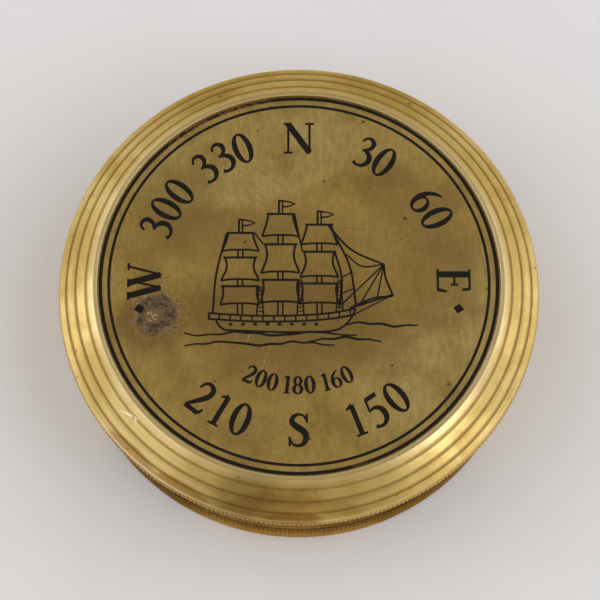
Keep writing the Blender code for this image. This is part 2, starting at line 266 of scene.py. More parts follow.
def write_clouds(g: Graph, given: dict[str, Socket]) -> dict[str, Socket]:
    """Soft patches: fractal noise at a place that a slower noise has shifted, cut by a soft threshold."""
    warp = g.noise(given["Place"], g.times(given["Scale"], 0.7), 2.0, 0.5, 1)
    shift = g.vector("SCALE", g.vector("SUBTRACT", warp, (0.5, 0.5, 0.5)))
    g.tree.links.new(g.maths("DIVIDE", 0.9, given["Scale"]), shift.node.inputs["Scale"])
    cloud = g.noise(g.vector("ADD", given["Place"], shift), given["Scale"], 6.0, 0.58)
    low = g.maths("SUBTRACT", given["Level"], given["Softness"])
    high = g.maths("ADD", given["Level"], given["Softness"])
    return {"Mask": g.ramp(cloud, low, high)}


def write_lathe(g: Graph, given: dict[str, Socket]) -> dict[str, Socket]:
    """Rings left by a turning tool: noise that depends on the distance from the axis and on the height alone.

    A slow noise round the ring makes each line fade in and out.
    """
    parts = g.add("SeparateXYZ", {"Vector": given["Place"]})
    x, y, z = (parts.node.outputs[i] for i in range(3))
    radius = g.maths("SQRT", g.maths("ADD", g.times(x, x), g.times(y, y)))
    fade = g.noise(given["Place"], 0.12, 2.0)
    rings = g.add("CombineXYZ", {0: radius, 1: z, 2: g.times(fade, 0.5)})
    fine = g.noise(rings, g.maths("DIVIDE", 1.0, given["Spacing"]), 3.0, 0.65)
    broad = g.noise(rings, g.maths("DIVIDE", 0.2, given["Spacing"]), 2.0, 0.5)
    return {"Height": g.times(fine, g.ramp(fade, 0.25, 0.6, 0.35, 1.0)), "Tone": broad}


def write_hairlines(g: Graph, given: dict[str, Socket]) -> dict[str, Socket]:
    """Fine straight scratches: noise stretched along one direction, cut high, and kept to patches."""
    turned_place = g.add(
        "VectorRotate", {"Vector": given["Place"], "Angle": given["Angle"]}, rotation_type="Z_AXIS"
    )
    bent = g.vector("ADD", turned_place, g.vector("SCALE", g.noise(turned_place, 0.15, 1.0, 0.5, 1)))
    bent.node.inputs[1].links[0].from_node.inputs["Scale"].default_value = 0.8
    stretched = g.vector("MULTIPLY", bent, (0.13, 4.2, 1.0))
    lines = g.noise(stretched, 1.0, 2.0, 0.6)
    patch = g.ramp(g.noise(given["Place"], 0.09, 2.0), 0.42, 0.62)
    edge = g.maths("SUBTRACT", 0.80, g.times(given["Cover"], 0.35))
    cut = g.ramp(lines, edge, g.maths("ADD", edge, 0.05))
    return {"Mask": g.times(cut, patch)}


def write_specks(g: Graph, given: dict[str, Socket]) -> dict[str, Socket]:
    """Scattered round spots: the nearest point of a random grid, closer than a radius of its own."""
    scale = g.maths("DIVIDE", 1.0, given["Spacing"])
    sockets = {"Vector": given["Place"], "Scale": scale, "Randomness": 1.0}
    distance = g.add("TexVoronoi", sockets, "Distance")
    chance = g.add("SeparateColor", {0: distance.node.outputs["Color"]})
    size = g.times(given["Size"], g.maths("POWER", chance, 3.0))
    return {"Mask": g.ramp(distance, size, g.times(size, 0.4))}


def write_patch(g: Graph, given: dict[str, Socket]) -> dict[str, Socket]:
    """One placed patch: the distance from its centre over its reach, cut softly, with a ragged border."""
    warp = g.noise(given["Place"], 0.35, 5.0, 0.6, 1)
    shift = g.vector("SCALE", g.vector("SUBTRACT", warp, (0.5, 0.5, 0.5)))
    g.tree.links.new(given["Ragged"], shift.node.inputs["Scale"])
    away = g.vector("ADD", g.vector("SUBTRACT", given["Place"], given["Centre"]), shift)
    level = g.add("VectorRotate", {"Vector": away, "Angle": given["Turn"]}, rotation_type="Z_AXIS")
    flat = g.vector("MULTIPLY", level, (1.0, 1.0, 0.0))
    distance = g.vector("LENGTH", g.vector("DIVIDE", flat, given["Reach"]), output=1)
    inner = g.rest(given["Softness"])
    return {"Mask": g.ramp(distance, g.maths("ADD", 1.0, given["Softness"]), inner)}


def write_hatch(g: Graph, given: dict[str, Socket]) -> dict[str, Socket]:
    """Parallel scratches: the middles of even stripes, bent a little and broken by noise."""
    level = g.add("VectorRotate", {"Vector": given["Place"], "Angle": given["Angle"]}, rotation_type="Z_AXIS")
    bend = g.vector("SCALE", g.noise(given["Place"], 0.12, 3.0, 0.6, 1))
    bend.node.inputs["Scale"].default_value = 0.7
    parts = g.add("SeparateXYZ", {"Vector": g.vector("ADD", level, bend)})
    across = g.maths("FRACT", g.maths("DIVIDE", parts, given["Spacing"]))
    stripe = g.ramp(g.maths("ABSOLUTE", g.maths("SUBTRACT", across, 0.5)), 0.2, 0.08)
    kept = g.ramp(g.noise(g.vector("MULTIPLY", level, (1.3, 0.3, 1.0)), 1.0, 2.0), 0.4, 0.55)
    return {"Mask": g.times(stripe, kept)}


CLOUDS = Effect(
    "soft_clouds",
    (("Place", "Vector"), ("Scale", "Float"), ("Level", "Float"), ("Softness", "Float")),
    ("Mask",),
    write_clouds,
)
LATHE = Effect("lathe_rings", (("Place", "Vector"), ("Spacing", "Float")), ("Height", "Tone"), write_lathe)
HAIRLINES = Effect(
    "hairline_scratches",
    (("Place", "Vector"), ("Angle", "Float"), ("Cover", "Float")),
    ("Mask",),
    write_hairlines,
)
SPECKS = Effect(
    "scattered_specks",
    (("Place", "Vector"), ("Spacing", "Float"), ("Size", "Float")),
    ("Mask",),
    write_specks,
)
PATCH = Effect(
    "placed_patch",
    (("Place", "Vector"), ("Centre", "Vector"), ("Reach", "Vector"), ("Turn", "Float"), ("Ragged", "Float"),
     ("Softness", "Float")),
    ("Mask",),
    write_patch,
)
HATCH = Effect(
    "hatched_scratches",
    (("Place", "Vector"), ("Angle", "Float"), ("Spacing", "Float")),
    ("Mask",),
    write_hatch,
)


@dataclass(frozen=True)
class Patch:
    """A soft patch on a round face: its centre, its reach along and across, its turn and its strength."""

    x: float
    y: float
    along: float
    across: float
    turn: float = 0.0
    strength: float = 1.0
    ragged: float = 3.0
    softness: float = 0.3

    def mask(self, g: "Graph", place: Socket) -> Socket:
        """The patch's strength at a place."""
        mask = PATCH.use(
            g, "Mask", place=place, centre=(self.x, self.y, 0.0), reach=(self.along, self.across, 1.0),
            turn=-math.radians(self.turn), ragged=self.ragged, softness=self.softness,
        )
        return g.times(mask, self.strength)


@dataclass(frozen=True)
class Finish:
    """A material whose colour, roughness and relief come from a graph."""

    name: str

    def material(self) -> bpy.types.Material:
        """Builds the material the first time, and finds it again after that."""
        known = bpy.data.materials.get(self.name)
        if known:
            return known
        made = bpy.data.materials.new(self.name)
        made.use_nodes = True
        shader = made.node_tree.nodes["Principled BSDF"]
        self.dress(Graph(made.node_tree), shader)
        return made

    def dress(self, g: Graph, shader: bpy.types.Node) -> None:
        """Writes the finish into the shader's sockets."""
        raise NotImplementedError

    @staticmethod
    def plug(g: Graph, shader: bpy.types.Node, **values: object) -> None:
        """Links or sets the shader's inputs, named in lower case with underscores."""
        for name, value in values.items():
            socket = shader.inputs[name.replace("_", " ").title().replace("Ior", "IOR")]
            if isinstance(value, bpy.types.NodeSocket):
                g.tree.links.new(value, socket)
            elif isinstance(value, tuple):
                socket.default_value = (*value, 1.0)
            else:
                socket.default_value = value


@dataclass(frozen=True)
class TurnedBrass(Finish):
    """Brass from the lathe: ringed by the tool, tarnished in patches, dark with grime in recesses and
    with painted shade, bright on worn edges and with painted highlights.
    """

    clean: Colour = (0.74, 0.53, 0.185)
    aged: Colour = (0.59, 0.395, 0.105)
    brown: Colour = (0.33, 0.165, 0.035)
    grime: Colour = (0.10, 0.052, 0.010)
    bright: Colour = (0.96, 0.82, 0.52)
    gloss: float = 0.25
    dull: float = 0.38
    brushed: float = 0.6
    edge: Colour = (0.95, 0.80, 0.50)
    ring_spacing: float = 0.13
    ring_depth: float = 0.005
    tarnish: float = 0.42
    stains: tuple[Patch, ...] = ()
    grimed: tuple[Patch, ...] = ()
    dents: tuple[Patch, ...] = ()
    nicks: tuple[Patch, ...] = ()

    def dress(self, g: Graph, shader: bpy.types.Node) -> None:
        """Clean and aged brass in clouds, then stains, darkened patches, recess grime with painted shade,
        worn edges with painted highlights, rings and hairlines.
        """
        p = g.place()
        clouds = CLOUDS.use(g, "Mask", place=p, scale=0.08, level=0.47, softness=0.16)
        rings = LATHE.use(g, "Height", place=p, spacing=self.ring_spacing)
        tone = LATHE.use(g, "Tone", place=p, spacing=self.ring_spacing)
        base = g.mix(clouds, self.aged, self.clean)
        base = g.mix(g.ramp(tone, 0.42, 0.7, 0.0, 0.35), base, self.brown)
        stained = CLOUDS.use(g, "Mask", place=p, scale=0.16, level=1.08 - self.tarnish, softness=0.1)
        base = g.mix(g.times(stained, 0.55), base, self.brown)
        for stain in self.stains:
            base = g.mix(stain.mask(g, p), base, self.brown)
        # Darkened patches in the grime colour; on the case they are painted shade.
        for patch in self.grimed:
            base = g.mix(patch.mask(g, p), base, self.grime)
        spots = SPECKS.use(g, "Mask", place=p, spacing=1.5, size=0.26)
        cluster = g.ramp(g.noise(p, 0.3, 2.0), 0.45, 0.7, 0.0, 0.7)
        base = g.mix(g.times(spots, cluster), base, self.grime)
        grain = g.noise(p, 2.4, 3.0)
        speckle = g.ramp(g.noise(p, 5.5, 2.0, 0.7), 0.3, 0.7)
        base = g.mix(g.times(speckle, 0.16), base, self.brown)
        # The dirt attribute: grime in grooves and valleys, and painted shade on the case below the lid.
        dirt_and_shade_share = g.times(g.attribute("dirt"), g.ramp(grain, 0.2, 0.6, 0.6, 1.0), True)
        base = g.mix(dirt_and_shade_share, base, self.grime)
        # Wear on edges; on the lid's crest, rim and bead it also paints their highlights.
        wear_and_highlight = g.times(g.attribute("wear"), g.ramp(grain, 0.3, 0.6, 0.8, 1.0), True)
        base = g.mix(wear_and_highlight, base, self.bright)
        lines = HAIRLINES.use(g, "Mask", place=p, angle=0.6, cover=0.45)
        relief = g.bump(rings, self.ring_depth)
        relief = g.bump(g.rest(lines), 0.006, relief, 0.5)
        relief = g.bump(g.noise(p, 1.1, 4.0), 0.016, relief, 0.5)
        rough = g.ramp(clouds, 0.0, 1.0, self.dull, self.gloss)
        for dent in self.dents:
            hollow = dent.mask(g, p)
            base = g.mix(g.times(hollow, 0.5), base, self.grime)
            relief = g.bump(g.rest(hollow), 0.10, relief)
        # Painted highlights on dents, with their bump.
        for nick in self.nicks:
            nick_highlight = nick.mask(g, p)
            base = g.mix(nick_highlight, base, self.bright)
            relief = g.bump(g.rest(nick_highlight), 0.12, relief)
        rough = g.maths("ADD", rough, g.times(dirt_and_shade_share, 0.2), True)
        self.plug(g, shader, base_color=base, metallic=1.0, roughness=rough, normal=relief)
        self.plug(g, shader, anisotropic=self.brushed, anisotropic_rotation=0.25, specular_tint=self.edge)


@dataclass(frozen=True)
class PlateBrass(Finish):
    """Flat sheet brass with an olive and brown tarnish, fine scratches and, on the lid, a corroded spot."""

    clean: Colour = (0.61, 0.425, 0.125)
    aged: Colour = (0.485, 0.32, 0.088)
    brown: Colour = (0.26, 0.160, 0.050)
    pale: Colour = (0.64, 0.50, 0.20)
    crust: Colour = (0.030, 0.019, 0.008)
    plum: Colour = (0.115, 0.066, 0.036)
    olive: Colour = (0.21, 0.150, 0.062)
    copper: Colour = (0.26, 0.155, 0.062)
    blister: Colour = (0.72, 0.48, 0.29)
    grime: Colour = (0.06, 0.035, 0.012)
    gloss: float = 0.33
    dull: float = 0.44
    bright_patches: tuple[Patch, ...] = ()
    dark_patches: tuple[Patch, ...] = ()
    hatched: tuple[Patch, ...] = ()
    spot: tuple[float, float] | None = None
    spot_radius: float = 3.5

    def dress(self, g: Graph, shader: bpy.types.Node) -> None:
        """Tarnish in three sizes and in placed patches, specks and scratches, then the corroded spot."""
        p = g.place()
        broad = CLOUDS.use(g, "Mask", place=p, scale=0.055, level=0.49, softness=0.14)
        middle = CLOUDS.use(g, "Mask", place=p, scale=0.15, level=0.57, softness=0.13)
        weave = g.ramp(g.noise(g.vector("MULTIPLY", p, (1.0, 0.35, 1.0)), 1.6, 4.0, 0.6), 0.3, 0.7)
        base = g.mix(broad, self.aged, self.clean)
        for patch in self.bright_patches:
            base = g.mix(patch.mask(g, p), base, self.pale)
        for patch in self.dark_patches:
            base = g.mix(patch.mask(g, p), base, self.brown)
        base = g.mix(g.times(middle, 0.6), base, self.brown)
        base = g.mix(g.times(weave, 0.4), base, self.brown)
        speckle = g.ramp(g.noise(p, 6.0, 2.0, 0.7), 0.3, 0.7)
        base = g.mix(g.times(speckle, 0.2), base, self.pale)
        spots = SPECKS.use(g, "Mask", place=p, spacing=2.1, size=0.22)
        scattered = g.ramp(g.noise(p, 0.2, 2.0), 0.42, 0.6, 0.0, 0.9)
        base = g.mix(g.times(spots, scattered), base, self.grime)
        marks = HAIRLINES.use(g, "Mask", place=p, angle=-2.25, cover=0.36)
        crossing = HAIRLINES.use(g, "Mask", place=p, angle=1.9, cover=0.42)
        for patch in self.hatched:
            strokes = HATCH.use(g, "Mask", place=p, angle=math.radians(patch.turn), spacing=0.52)
            marks = g.maths("MAXIMUM", marks, g.times(strokes, patch.mask(g, p)))
        base = g.mix(g.times(marks, 0.5), base, self.brown)
        base = g.mix(g.times(crossing, 0.45), base, self.pale)
        dirt_and_shade_share = g.times(g.attribute("dirt"), g.ramp(g.noise(p, 1.5), 0.3, 0.6, 0.6, 1.0))
        base = g.mix(dirt_and_shade_share, base, self.grime)
        # Wear turns it pale; on the lid's plate it also paints the highlight beside the crest.
        base = g.mix(g.times(g.attribute("wear"), 0.8), base, self.pale)
        rough = g.ramp(broad, 0.0, 1.0, self.dull, self.gloss)
        metal: object = 1.0
        relief = g.bump(g.rest(marks), 0.008, None, 0.7)
        relief = g.bump(g.noise(p, 0.12, 3.0), 0.10, relief)
        if self.spot:
            base, rough, metal, relief = self.corrode(g, p, base, rough, relief)
        self.plug(g, shader, base_color=base, metallic=metal, roughness=rough, normal=relief)

    def corrode(self, g: Graph, p: Socket, base: Socket, rough: Socket, relief: Socket) -> tuple[Socket, ...]:
        """Lays a spot of old corrosion: a brown halo, a ring of dark crust, and a copper pit in its middle.

        Args:
            g: the material's graph.
            p: place in millimetres.
            base: colour so far.
            rough: roughness so far.
            relief: normal so far.

        Returns:
            The new colour, roughness, metallic value and normal.
        """
        x, y = self.spot
        r = self.spot_radius
        halo = Patch(x - 0.7, y - 1.4, 1.35 * r, 1.5 * r, 0.0, 0.7, 4.0, 0.35).mask(g, p)
        fringe = Patch(x + 0.6, y + 0.8, 1.55 * r, 1.45 * r, 0.0, 1.0, 6.0, 0.3).mask(g, p)
        core = Patch(x + 0.2, y + 0.1, 0.95 * r, 0.95 * r, 0.0, 1.0, 5.5, 0.3).mask(g, p)
        pit = Patch(x - 0.4, y - 0.2, 0.36 * r, 0.36 * r, 0.0, 1.0, 1.2, 0.35).mask(g, p)
        mottle = g.noise(p, 1.8, 6.0, 0.78)
        other = g.noise(g.vector("ADD", p, (31.0, 7.0, 0.0)), 1.0, 6.0, 0.75)
        crumbs = g.ramp(g.noise(p, 2.6, 5.0, 0.75), 0.54, 0.62)
        base = g.mix(halo, base, self.copper)
        base = g.mix(g.times(fringe, g.times(crumbs, 0.6)), base, self.crust)
        crust = g.mix(g.ramp(other, 0.44, 0.56), self.crust, self.plum)
        crust = g.mix(g.ramp(mottle, 0.50, 0.58), crust, self.olive)
        base = g.mix(g.times(core, g.ramp(mottle, 0.25, 0.5, 0.95, 0.85)), base, crust)
        # Glints: painted highlights scattered on the crust.
        glints = g.times(SPECKS.use(g, "Mask", place=p, spacing=1.5, size=0.34), core)
        base = g.mix(g.times(glints, 0.5), base, self.pale)
        base = g.mix(g.times(pit, 0.85), base, self.copper)
        # Pale spots in the pit: painted highlights.
        heart = Patch(x - 0.6, y - 0.35, 0.22 * r, 0.2 * r, 0.0, 1.0, 0.8, 0.4).mask(g, p)
        pit_highlights = g.times(g.ramp(g.noise(p, 2.0, 2.0), 0.51, 0.6), heart)
        base = g.mix(pit_highlights, base, self.blister)
        rough = g.maths("ADD", rough, g.times(core, 0.25), True)
        metal = g.rest(g.times(core, g.ramp(pit, 0.0, 1.0, 0.4, 0.1)))
        relief = g.bump(g.times(mottle, core), 0.3, relief)
        return base, rough, metal, relief


@dataclass(frozen=True)
class BlackFill(Finish):
    """Black wax in an engraved line, rubbed through in places to brown metal."""

    black: Colour = (0.009, 0.006, 0.003)
    rubbed: Colour = (0.20, 0.085, 0.045)
    wear: float = 0.2
    bared: tuple[Patch, ...] = ()

    def dress(self, g: Graph, shader: bpy.types.Node) -> None:
        """Black, with rubbed patches and a slightly uneven top."""
        p = g.place()
        patches = CLOUDS.use(g, "Mask", place=p, scale=0.22, level=0.86 - 0.4 * self.wear, softness=0.07)
        grain = g.ramp(g.noise(p, 4.0, 3.0), 0.35, 0.6)
        share = g.times(patches, grain)
        for patch in self.bared:
            streaks = g.ramp(g.noise(p, 1.3, 4.0, 0.65), 0.45, 0.55)
            share = g.maths("MAXIMUM", share, g.times(patch.mask(g, p), streaks))
        base = g.mix(share, self.black, self.rubbed)
        rough = g.ramp(share, 0.0, 1.0, 0.6, 0.42)
        relief = g.bump(g.noise(p, 2.5, 3.0), 0.02)
        self.plug(
            g, shader, base_color=base, roughness=rough, metallic=share, normal=relief,
            specular_ior_level=0.18,
        )


@dataclass(frozen=True)
class Coated(Finish):
    """A smooth coloured surface with faint mottling: enamel, rubber or ink."""

    colour: Colour = (0.8, 0.77, 0.66)
    shade: Colour = (0.6, 0.52, 0.36)
    rough: float = 0.4
    grain: float = 0.004

    def dress(self, g: Graph, shader: bpy.types.Node) -> None:
        """The colour, stained towards its shade in patches."""
        p = g.place()
        clouds = CLOUDS.use(g, "Mask", place=p, scale=0.09, level=0.62, softness=0.16)
        base = g.mix(g.times(clouds, 0.55), self.colour, self.shade)
        rough = g.ramp(g.noise(p, 0.6), 0.3, 0.7, self.rough - 0.06, self.rough + 0.08)
        relief = g.bump(g.noise(p, 3.0, 3.0), self.grain)
        self.plug(g, shader, base_color=base, roughness=rough, metallic=0.0, normal=relief)


@dataclass(frozen=True)
class Glassy(Finish):
    """Clear or tinted glass and stone."""

    colour: Colour = (0.96, 0.98, 0.97)
    clear: float = 1.0
    rough: float = 0.015

    def dress(self, g: Graph, shader: bpy.types.Node) -> None:
        """Glass with a few faint rub marks."""
        p = g.place()
        lines = HAIRLINES.use(g, "Mask", place=p, angle=0.9, cover=0.3)
        rough = g.ramp(lines, 0.0, 1.0, self.rough, self.rough + 0.2)
        tint = g.mix(g.ramp(g.noise(p, 0.3), 0.3, 0.7), self.colour, tuple(0.97 * c for c in self.colour))
        self.plug(g, shader, base_color=tint, roughness=rough, transmission_weight=self.clear, ior=1.5)


@dataclass(frozen=True)
class Steel(Finish):
    """Ground steel, blued by heat where the mesh's tint attribute says so."""

    bare: Colour = (0.58, 0.58, 0.60)
    blue: Colour = (0.030, 0.055, 0.20)
    gloss: float = 0.24

    def dress(self, g: Graph, shader: bpy.types.Node) -> None:
        """Bare or blued steel with grinding lines along the piece."""
        p = g.place()
        along = g.noise(g.vector("MULTIPLY", p, (9.0, 0.25, 1.0)), 1.0, 3.0, 0.6)
        tint = g.ramp(g.attribute("tint"), 0.3, 0.7)
        haze = g.mix(g.ramp(g.noise(p, 0.35, 3.0), 0.4, 0.7), self.blue, (0.10, 0.04, 0.12))
        base = g.mix(tint, g.mix(g.ramp(along, 0.4, 0.7, 0.0, 0.35), self.bare, (0.32, 0.31, 0.30)), haze)
        rough = g.ramp(along, 0.3, 0.7, self.gloss, self.gloss + 0.12)
        self.plug(g, shader, base_color=base, roughness=rough, metallic=1.0, normal=g.bump(along, 0.003))


@dataclass(frozen=True)
class PaleFloor(Finish):
    """A matt, nearly white table top."""

    colour: Colour = (0.96, 0.935, 0.90)
    shade: Colour = (0.93, 0.905, 0.87)

    def dress(self, g: Graph, shader: bpy.types.Node) -> None:
        """A pale colour with very faint soft clouds."""
        p = g.place()
        clouds = CLOUDS.use(g, "Mask", place=p, scale=0.02, level=0.5, softness=0.2)
        base = g.mix(clouds, self.colour, self.shade)
        self.plug(g, shader, base_color=base, roughness=0.6, metallic=0.0, specular_ior_level=0.2)


CASE_BRASS = TurnedBrass(
    "case_brass",
    clean=(0.74, 0.48, 0.165),
    aged=(0.60, 0.365, 0.110),
    brown=(0.34, 0.165, 0.040),
    edge=(0.84, 0.62, 0.32),
    tarnish=0.5,
    gloss=0.30,
    brushed=0.4,
    # Painted shade on the case's front left and front right, below the lid's rim.
    grimed=(
        Patch(-24.6, -26.6, 11.0, 3.2, -43.0, 0.75, 2.0, 0.4),
        Patch(21.5, -29.0, 12.0, 3.2, 37.0, 0.6, 2.0, 0.4),
    ),
)
LID_BRASS = TurnedBrass(
    "lid_brass",
    grimed=(Patch(-8.6, -34.4, 5.5, 3.6, 14.0, 0.42, 2.8, 0.45),),
    stains=(
        Patch(-7.5, -36.3, 9.5, 2.2, 13.0, 0.5, 2.0),
        Patch(3.0, -35.5, 7.0, 1.0, -5.0, 0.3, 1.5),
        Patch(-14.0, 31.5, 5.0, 1.6, 25.0, 0.3, 2.0),
        Patch(-25.9, -26.8, 5.0, 0.9, -44.0, 0.7, 1.0),
        Patch(-18.1, -32.6, 5.0, 0.9, -29.0, 0.8, 1.0),
        Patch(-1.0, -37.3, 4.5, 0.8, -1.5, 0.8, 1.0),
    ),
    dents=(
        Patch(-12.7, 32.0, 0.45, 0.45, 0.0, 0.8, 0.3),
        Patch(17.8, 31.2, 0.40, 0.40, 0.0, 0.9, 0.3),
    ),
    # Painted highlights on two small dents at the lower left of the bevel, with the dents' bump.
    nicks=(
        Patch(-26.0, -21.6, 1.5, 0.22, -28.0, 0.7, 0.3, 0.4),
        Patch(-25.2, -22.4, 0.5, 0.2, -70.0, 0.45, 0.3, 0.5),
    ),
)
FITTINGS_BRASS = TurnedBrass("fittings_brass", clean=(0.86, 0.66, 0.32), tarnish=0.40, gloss=0.24, dull=0.34)
ENGRAVED_BRASS = PlateBrass(
    "engraved_plate_brass",
    bright_patches=(
        Patch(-9.0, 20.5, 19.0, 8.0, 12.0, 0.55, 3.0, 0.12),
        Patch(9.0, 25.5, 16.0, 5.5, -14.0, 0.45, 4.0, 0.3),
        Patch(19.0, -17.0, 13.0, 9.5, 45.0, 0.6, 5.0, 0.4),
        Patch(27.0, -3.0, 4.5, 9.0, 0.0, 0.4, 3.0, 0.4),
    ),
    dark_patches=(
        Patch(-1.0, -6.5, 18.0, 8.0, -4.0, 0.92, 6.0, 0.5),
        Patch(22.0, 2.0, 6.0, 8.0, 0.0, 0.5, 5.0, 0.4),
        Patch(-20.0, 12.0, 6.0, 8.0, -30.0, 0.5, 5.0, 0.4),
        Patch(-12.0, 7.5, 9.5, 4.2, 10.0, 0.42, 4.0, 0.25),
        Patch(3.0, 4.5, 12.0, 6.5, -10.0, 0.35, 5.0, 0.5),
        Patch(16.5, 13.5, 7.5, 5.0, -40.0, 0.5, 5.0, 0.4),
        Patch(-6.0, -16.0, 9.0, 4.0, 0.0, 0.3, 5.0, 0.4),
        Patch(8.7, 8.7, 1.9, 0.10, -6.0, 0.85, 0.25, 0.4),
    ),
    hatched=(
        Patch(-5.8, 15.3, 4.6, 3.0, -52.0, 1.0, 1.5, 0.3),
        Patch(10.5, -12.5, 3.5, 2.0, 40.0, 0.4, 2.0, 0.4),
    ),
    spot=(-22.4, -5.5),
)
SHEET_BRASS = PlateBrass("plain_sheet_brass")
SCALE_FILL = BlackFill("black_fill")
RIM_FILL = BlackFill("black_fill_worn", wear=0.4, bared=(Patch(-13.2, 27.9, 9.0, 2.6, 25.0, 1.0, 1.0),))
DIAL_ENAMEL = Coated("dial_enamel")
DIAL_INK = Coated("dial_ink", colour=(0.012, 0.012, 0.014), shade=(0.04, 0.03, 0.02), rough=0.38)
DIAL_RED = Coated("dial_red_ink", colour=(0.34, 0.02, 0.015), shade=(0.2, 0.03, 0.02), rough=0.38)
SEAL_RUBBER = Coated(
    "seal_rubber", colour=(0.02, 0.02, 0.02), shade=(0.05, 0.045, 0.04), rough=0.65, grain=0.02
)
CLEAR_GLASS = Glassy("window_glass")
JEWEL_RED = Glassy("jewel_red", colour=(0.55, 0.03, 0.07), clear=0.6, rough=0.05)
NEEDLE_STEEL = Steel("needle_steel")


# ------------------------------------------------------------------------
# Surfaces
# ------------------------------------------------------------------------


@dataclass
class Surface:
    """A mesh in the making, gathered from grids of points in millimetres."""

    points: list[Array] = field(default_factory=list)
    quads: list[Array] = field(default_factory=list)
    caps: list[list[int]] = field(default_factory=list)
    marks: dict[str, list[Array]] = field(default_factory=dict)
    count: int = 0

    def add(
        self,
        grid: Array,
        wrap_rows: bool = False,
        wrap_columns: bool = False,
        cap_rows: bool = False,
        cap_columns: bool = False,
        **marks: Array | float,
    ) -> None:
        """Adds a grid of points with a face between each four neighbours.

        Args:
            grid: the points, as (rows, columns, 3).
            wrap_rows: joins the last row to the first.
            wrap_columns: joins the last column to the first.
            cap_rows: fills the first and the last row with one face each.
            cap_columns: fills the first and the last column with one face each.
            **marks: named values for the points, one number or an array that fits (rows, columns).
        """
        rows, columns = grid.shape[:2]
        index = np.arange(rows * columns).reshape(rows, columns) + self.count
        if cap_rows:
            self.caps += [index[0].tolist(), index[-1].tolist()]
        if cap_columns:
            self.caps += [index[:, 0].tolist(), index[:, -1].tolist()]
        if wrap_rows:
            index = np.vstack([index, index[:1]])
        if wrap_columns:
            index = np.hstack([index, index[:, :1]])
        corners = (index[:-1, :-1], index[:-1, 1:], index[1:, 1:], index[1:, :-1])
        self.quads.append(np.stack(corners, -1).reshape(-1, 4))
        self.points.append(grid.reshape(-1, 3))
        for name, value in marks.items():
            spread = np.broadcast_to(value, (rows, columns)).astype(np.float32)
            self.marks.setdefault(name, []).append(spread.ravel())
        self.count += rows * columns

    def piece(
        self,
        name: str,
        finish: Finish,
        body: Body,
        slot: Slot | None = None,
        replaces: Sequence[str] = (),
        crease: float = 40.0,
    ) -> bpy.types.Object:
        """Makes the mesh into a piece that rides on a body.

        Args:
            name: the piece's name.
            finish: its material.
            body: the body it moves with.
            slot: the record's material slot it belongs to; not used.
            replaces: the CAD nodes that it stands for.
            crease: the angle, in degrees, past which an edge stays sharp.

        Returns:
            The finished object, which sits at the origin.
        """
        mesh = bpy.data.meshes.new(name)
        points = np.concatenate(self.points) * MM
        mesh.from_pydata(points.tolist(), [], np.concatenate(self.quads).tolist() + self.caps)
        for label, values in self.marks.items():
            layer = mesh.attributes.new(label, "FLOAT", "POINT")
            layer.data.foreach_set("value", np.concatenate(values))
        bm = bmesh.new()
        bm.from_mesh(mesh)
        bmesh.ops.recalc_face_normals(bm, faces=bm.faces)
        bm.to_mesh(mesh)
        bm.free()
        mesh.shade_smooth()
        mesh.set_sharp_from_angle(angle=math.radians(crease))
        mesh.materials.append(finish.material())
        obj = bpy.data.objects.new(name, mesh)
        bpy.context.scene.collection.objects.link(obj)
        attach(obj, body.value)
        if replaces:
            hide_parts(*replaces)
        log.info("%s: %d points, on %s", name, len(points), body.value)
        return obj


def soften(corners: Sequence[Corner], closed: bool = True, steps: int = 4) -> Array:
    """Rounds the corners of an outline.

    Each corner becomes a quadratic curve that leaves one side at the corner's third value from it and meets
    the next side as far on. A third value of 0 keeps the corner sharp.

    Args:
        corners: (radius, height, rounding) of each corner.
        closed: whether the last corner joins the first.
        steps: points on each rounded corner.

    Returns:
        The outline, as (points, 2).
    """
    values = np.array(corners, float)
    place, reach = values[:, :2], values[:, 2:3].copy()
    if not closed:
        reach[[0, -1]] = 0.0

    def towards(other: Array) -> Array:
        gap = other - place
        length = np.linalg.norm(gap, axis=1, keepdims=True)
        return place + gap / np.maximum(length, 1e-9) * np.minimum(reach, 0.45 * length)

    before, after = towards(np.roll(place, 1, 0)), towards(np.roll(place, -1, 0))
    t = np.linspace(0.0, 1.0, steps)[None, :, None]
    curve = (1 - t) ** 2 * before[:, None] + 2 * t * (1 - t) * place[:, None] + t**2 * after[:, None]
    curve = curve.reshape(-1, 2)
    moved = np.linalg.norm(np.diff(curve, axis=0, prepend=curve[-1:]), axis=1) > 1e-5
    moved[0] |= not closed
    return curve[moved]


def refine(outline: Array, spacing: float, closed: bool = True) -> Array:
    """Adds evenly spaced points to the long sides of an outline, so that none is longer than spacing."""
    ends = np.roll(outline, -1, 0) if closed else outline[1:]
    starts = outline if closed else outline[:-1]
    counts = np.maximum(1, np.ceil(np.linalg.norm(ends - starts, axis=1) / spacing - 1e-6)).astype(int)
    side = np.repeat(np.arange(len(counts)), counts)
    step = np.arange(counts.sum()) - np.repeat(np.cumsum(counts) - counts, counts)
    share = (step / counts[side])[:, None]
    points = starts[side] + share * (ends - starts)[side]
    return points if closed else np.vstack([points, outline[-1:]])


def refine_between(outline: Array, low: float, high: float, spacing: float) -> Array:
    """Adds points to those upright sides of a closed outline that cross the heights from low to high."""
    ends = np.roll(outline, -1, 0)
    pieces = []
    for start, end in zip(outline, ends):
        lower, upper = min(start[1], end[1]), max(start[1], end[1])
        upright = abs(start[0] - end[0]) < 1e-6 and lower < high and upper > low
        fine = refine(np.array([start, end]), spacing if upright else 1e3, closed=False)
        pieces.append(fine[:-1])
    return np.vstack(pieces)


def round_angles(columns: int) -> Array:
    """Angles of the columns round a full turn, in radians."""
    return np.linspace(0.0, 2 * np.pi, columns, endpoint=False)


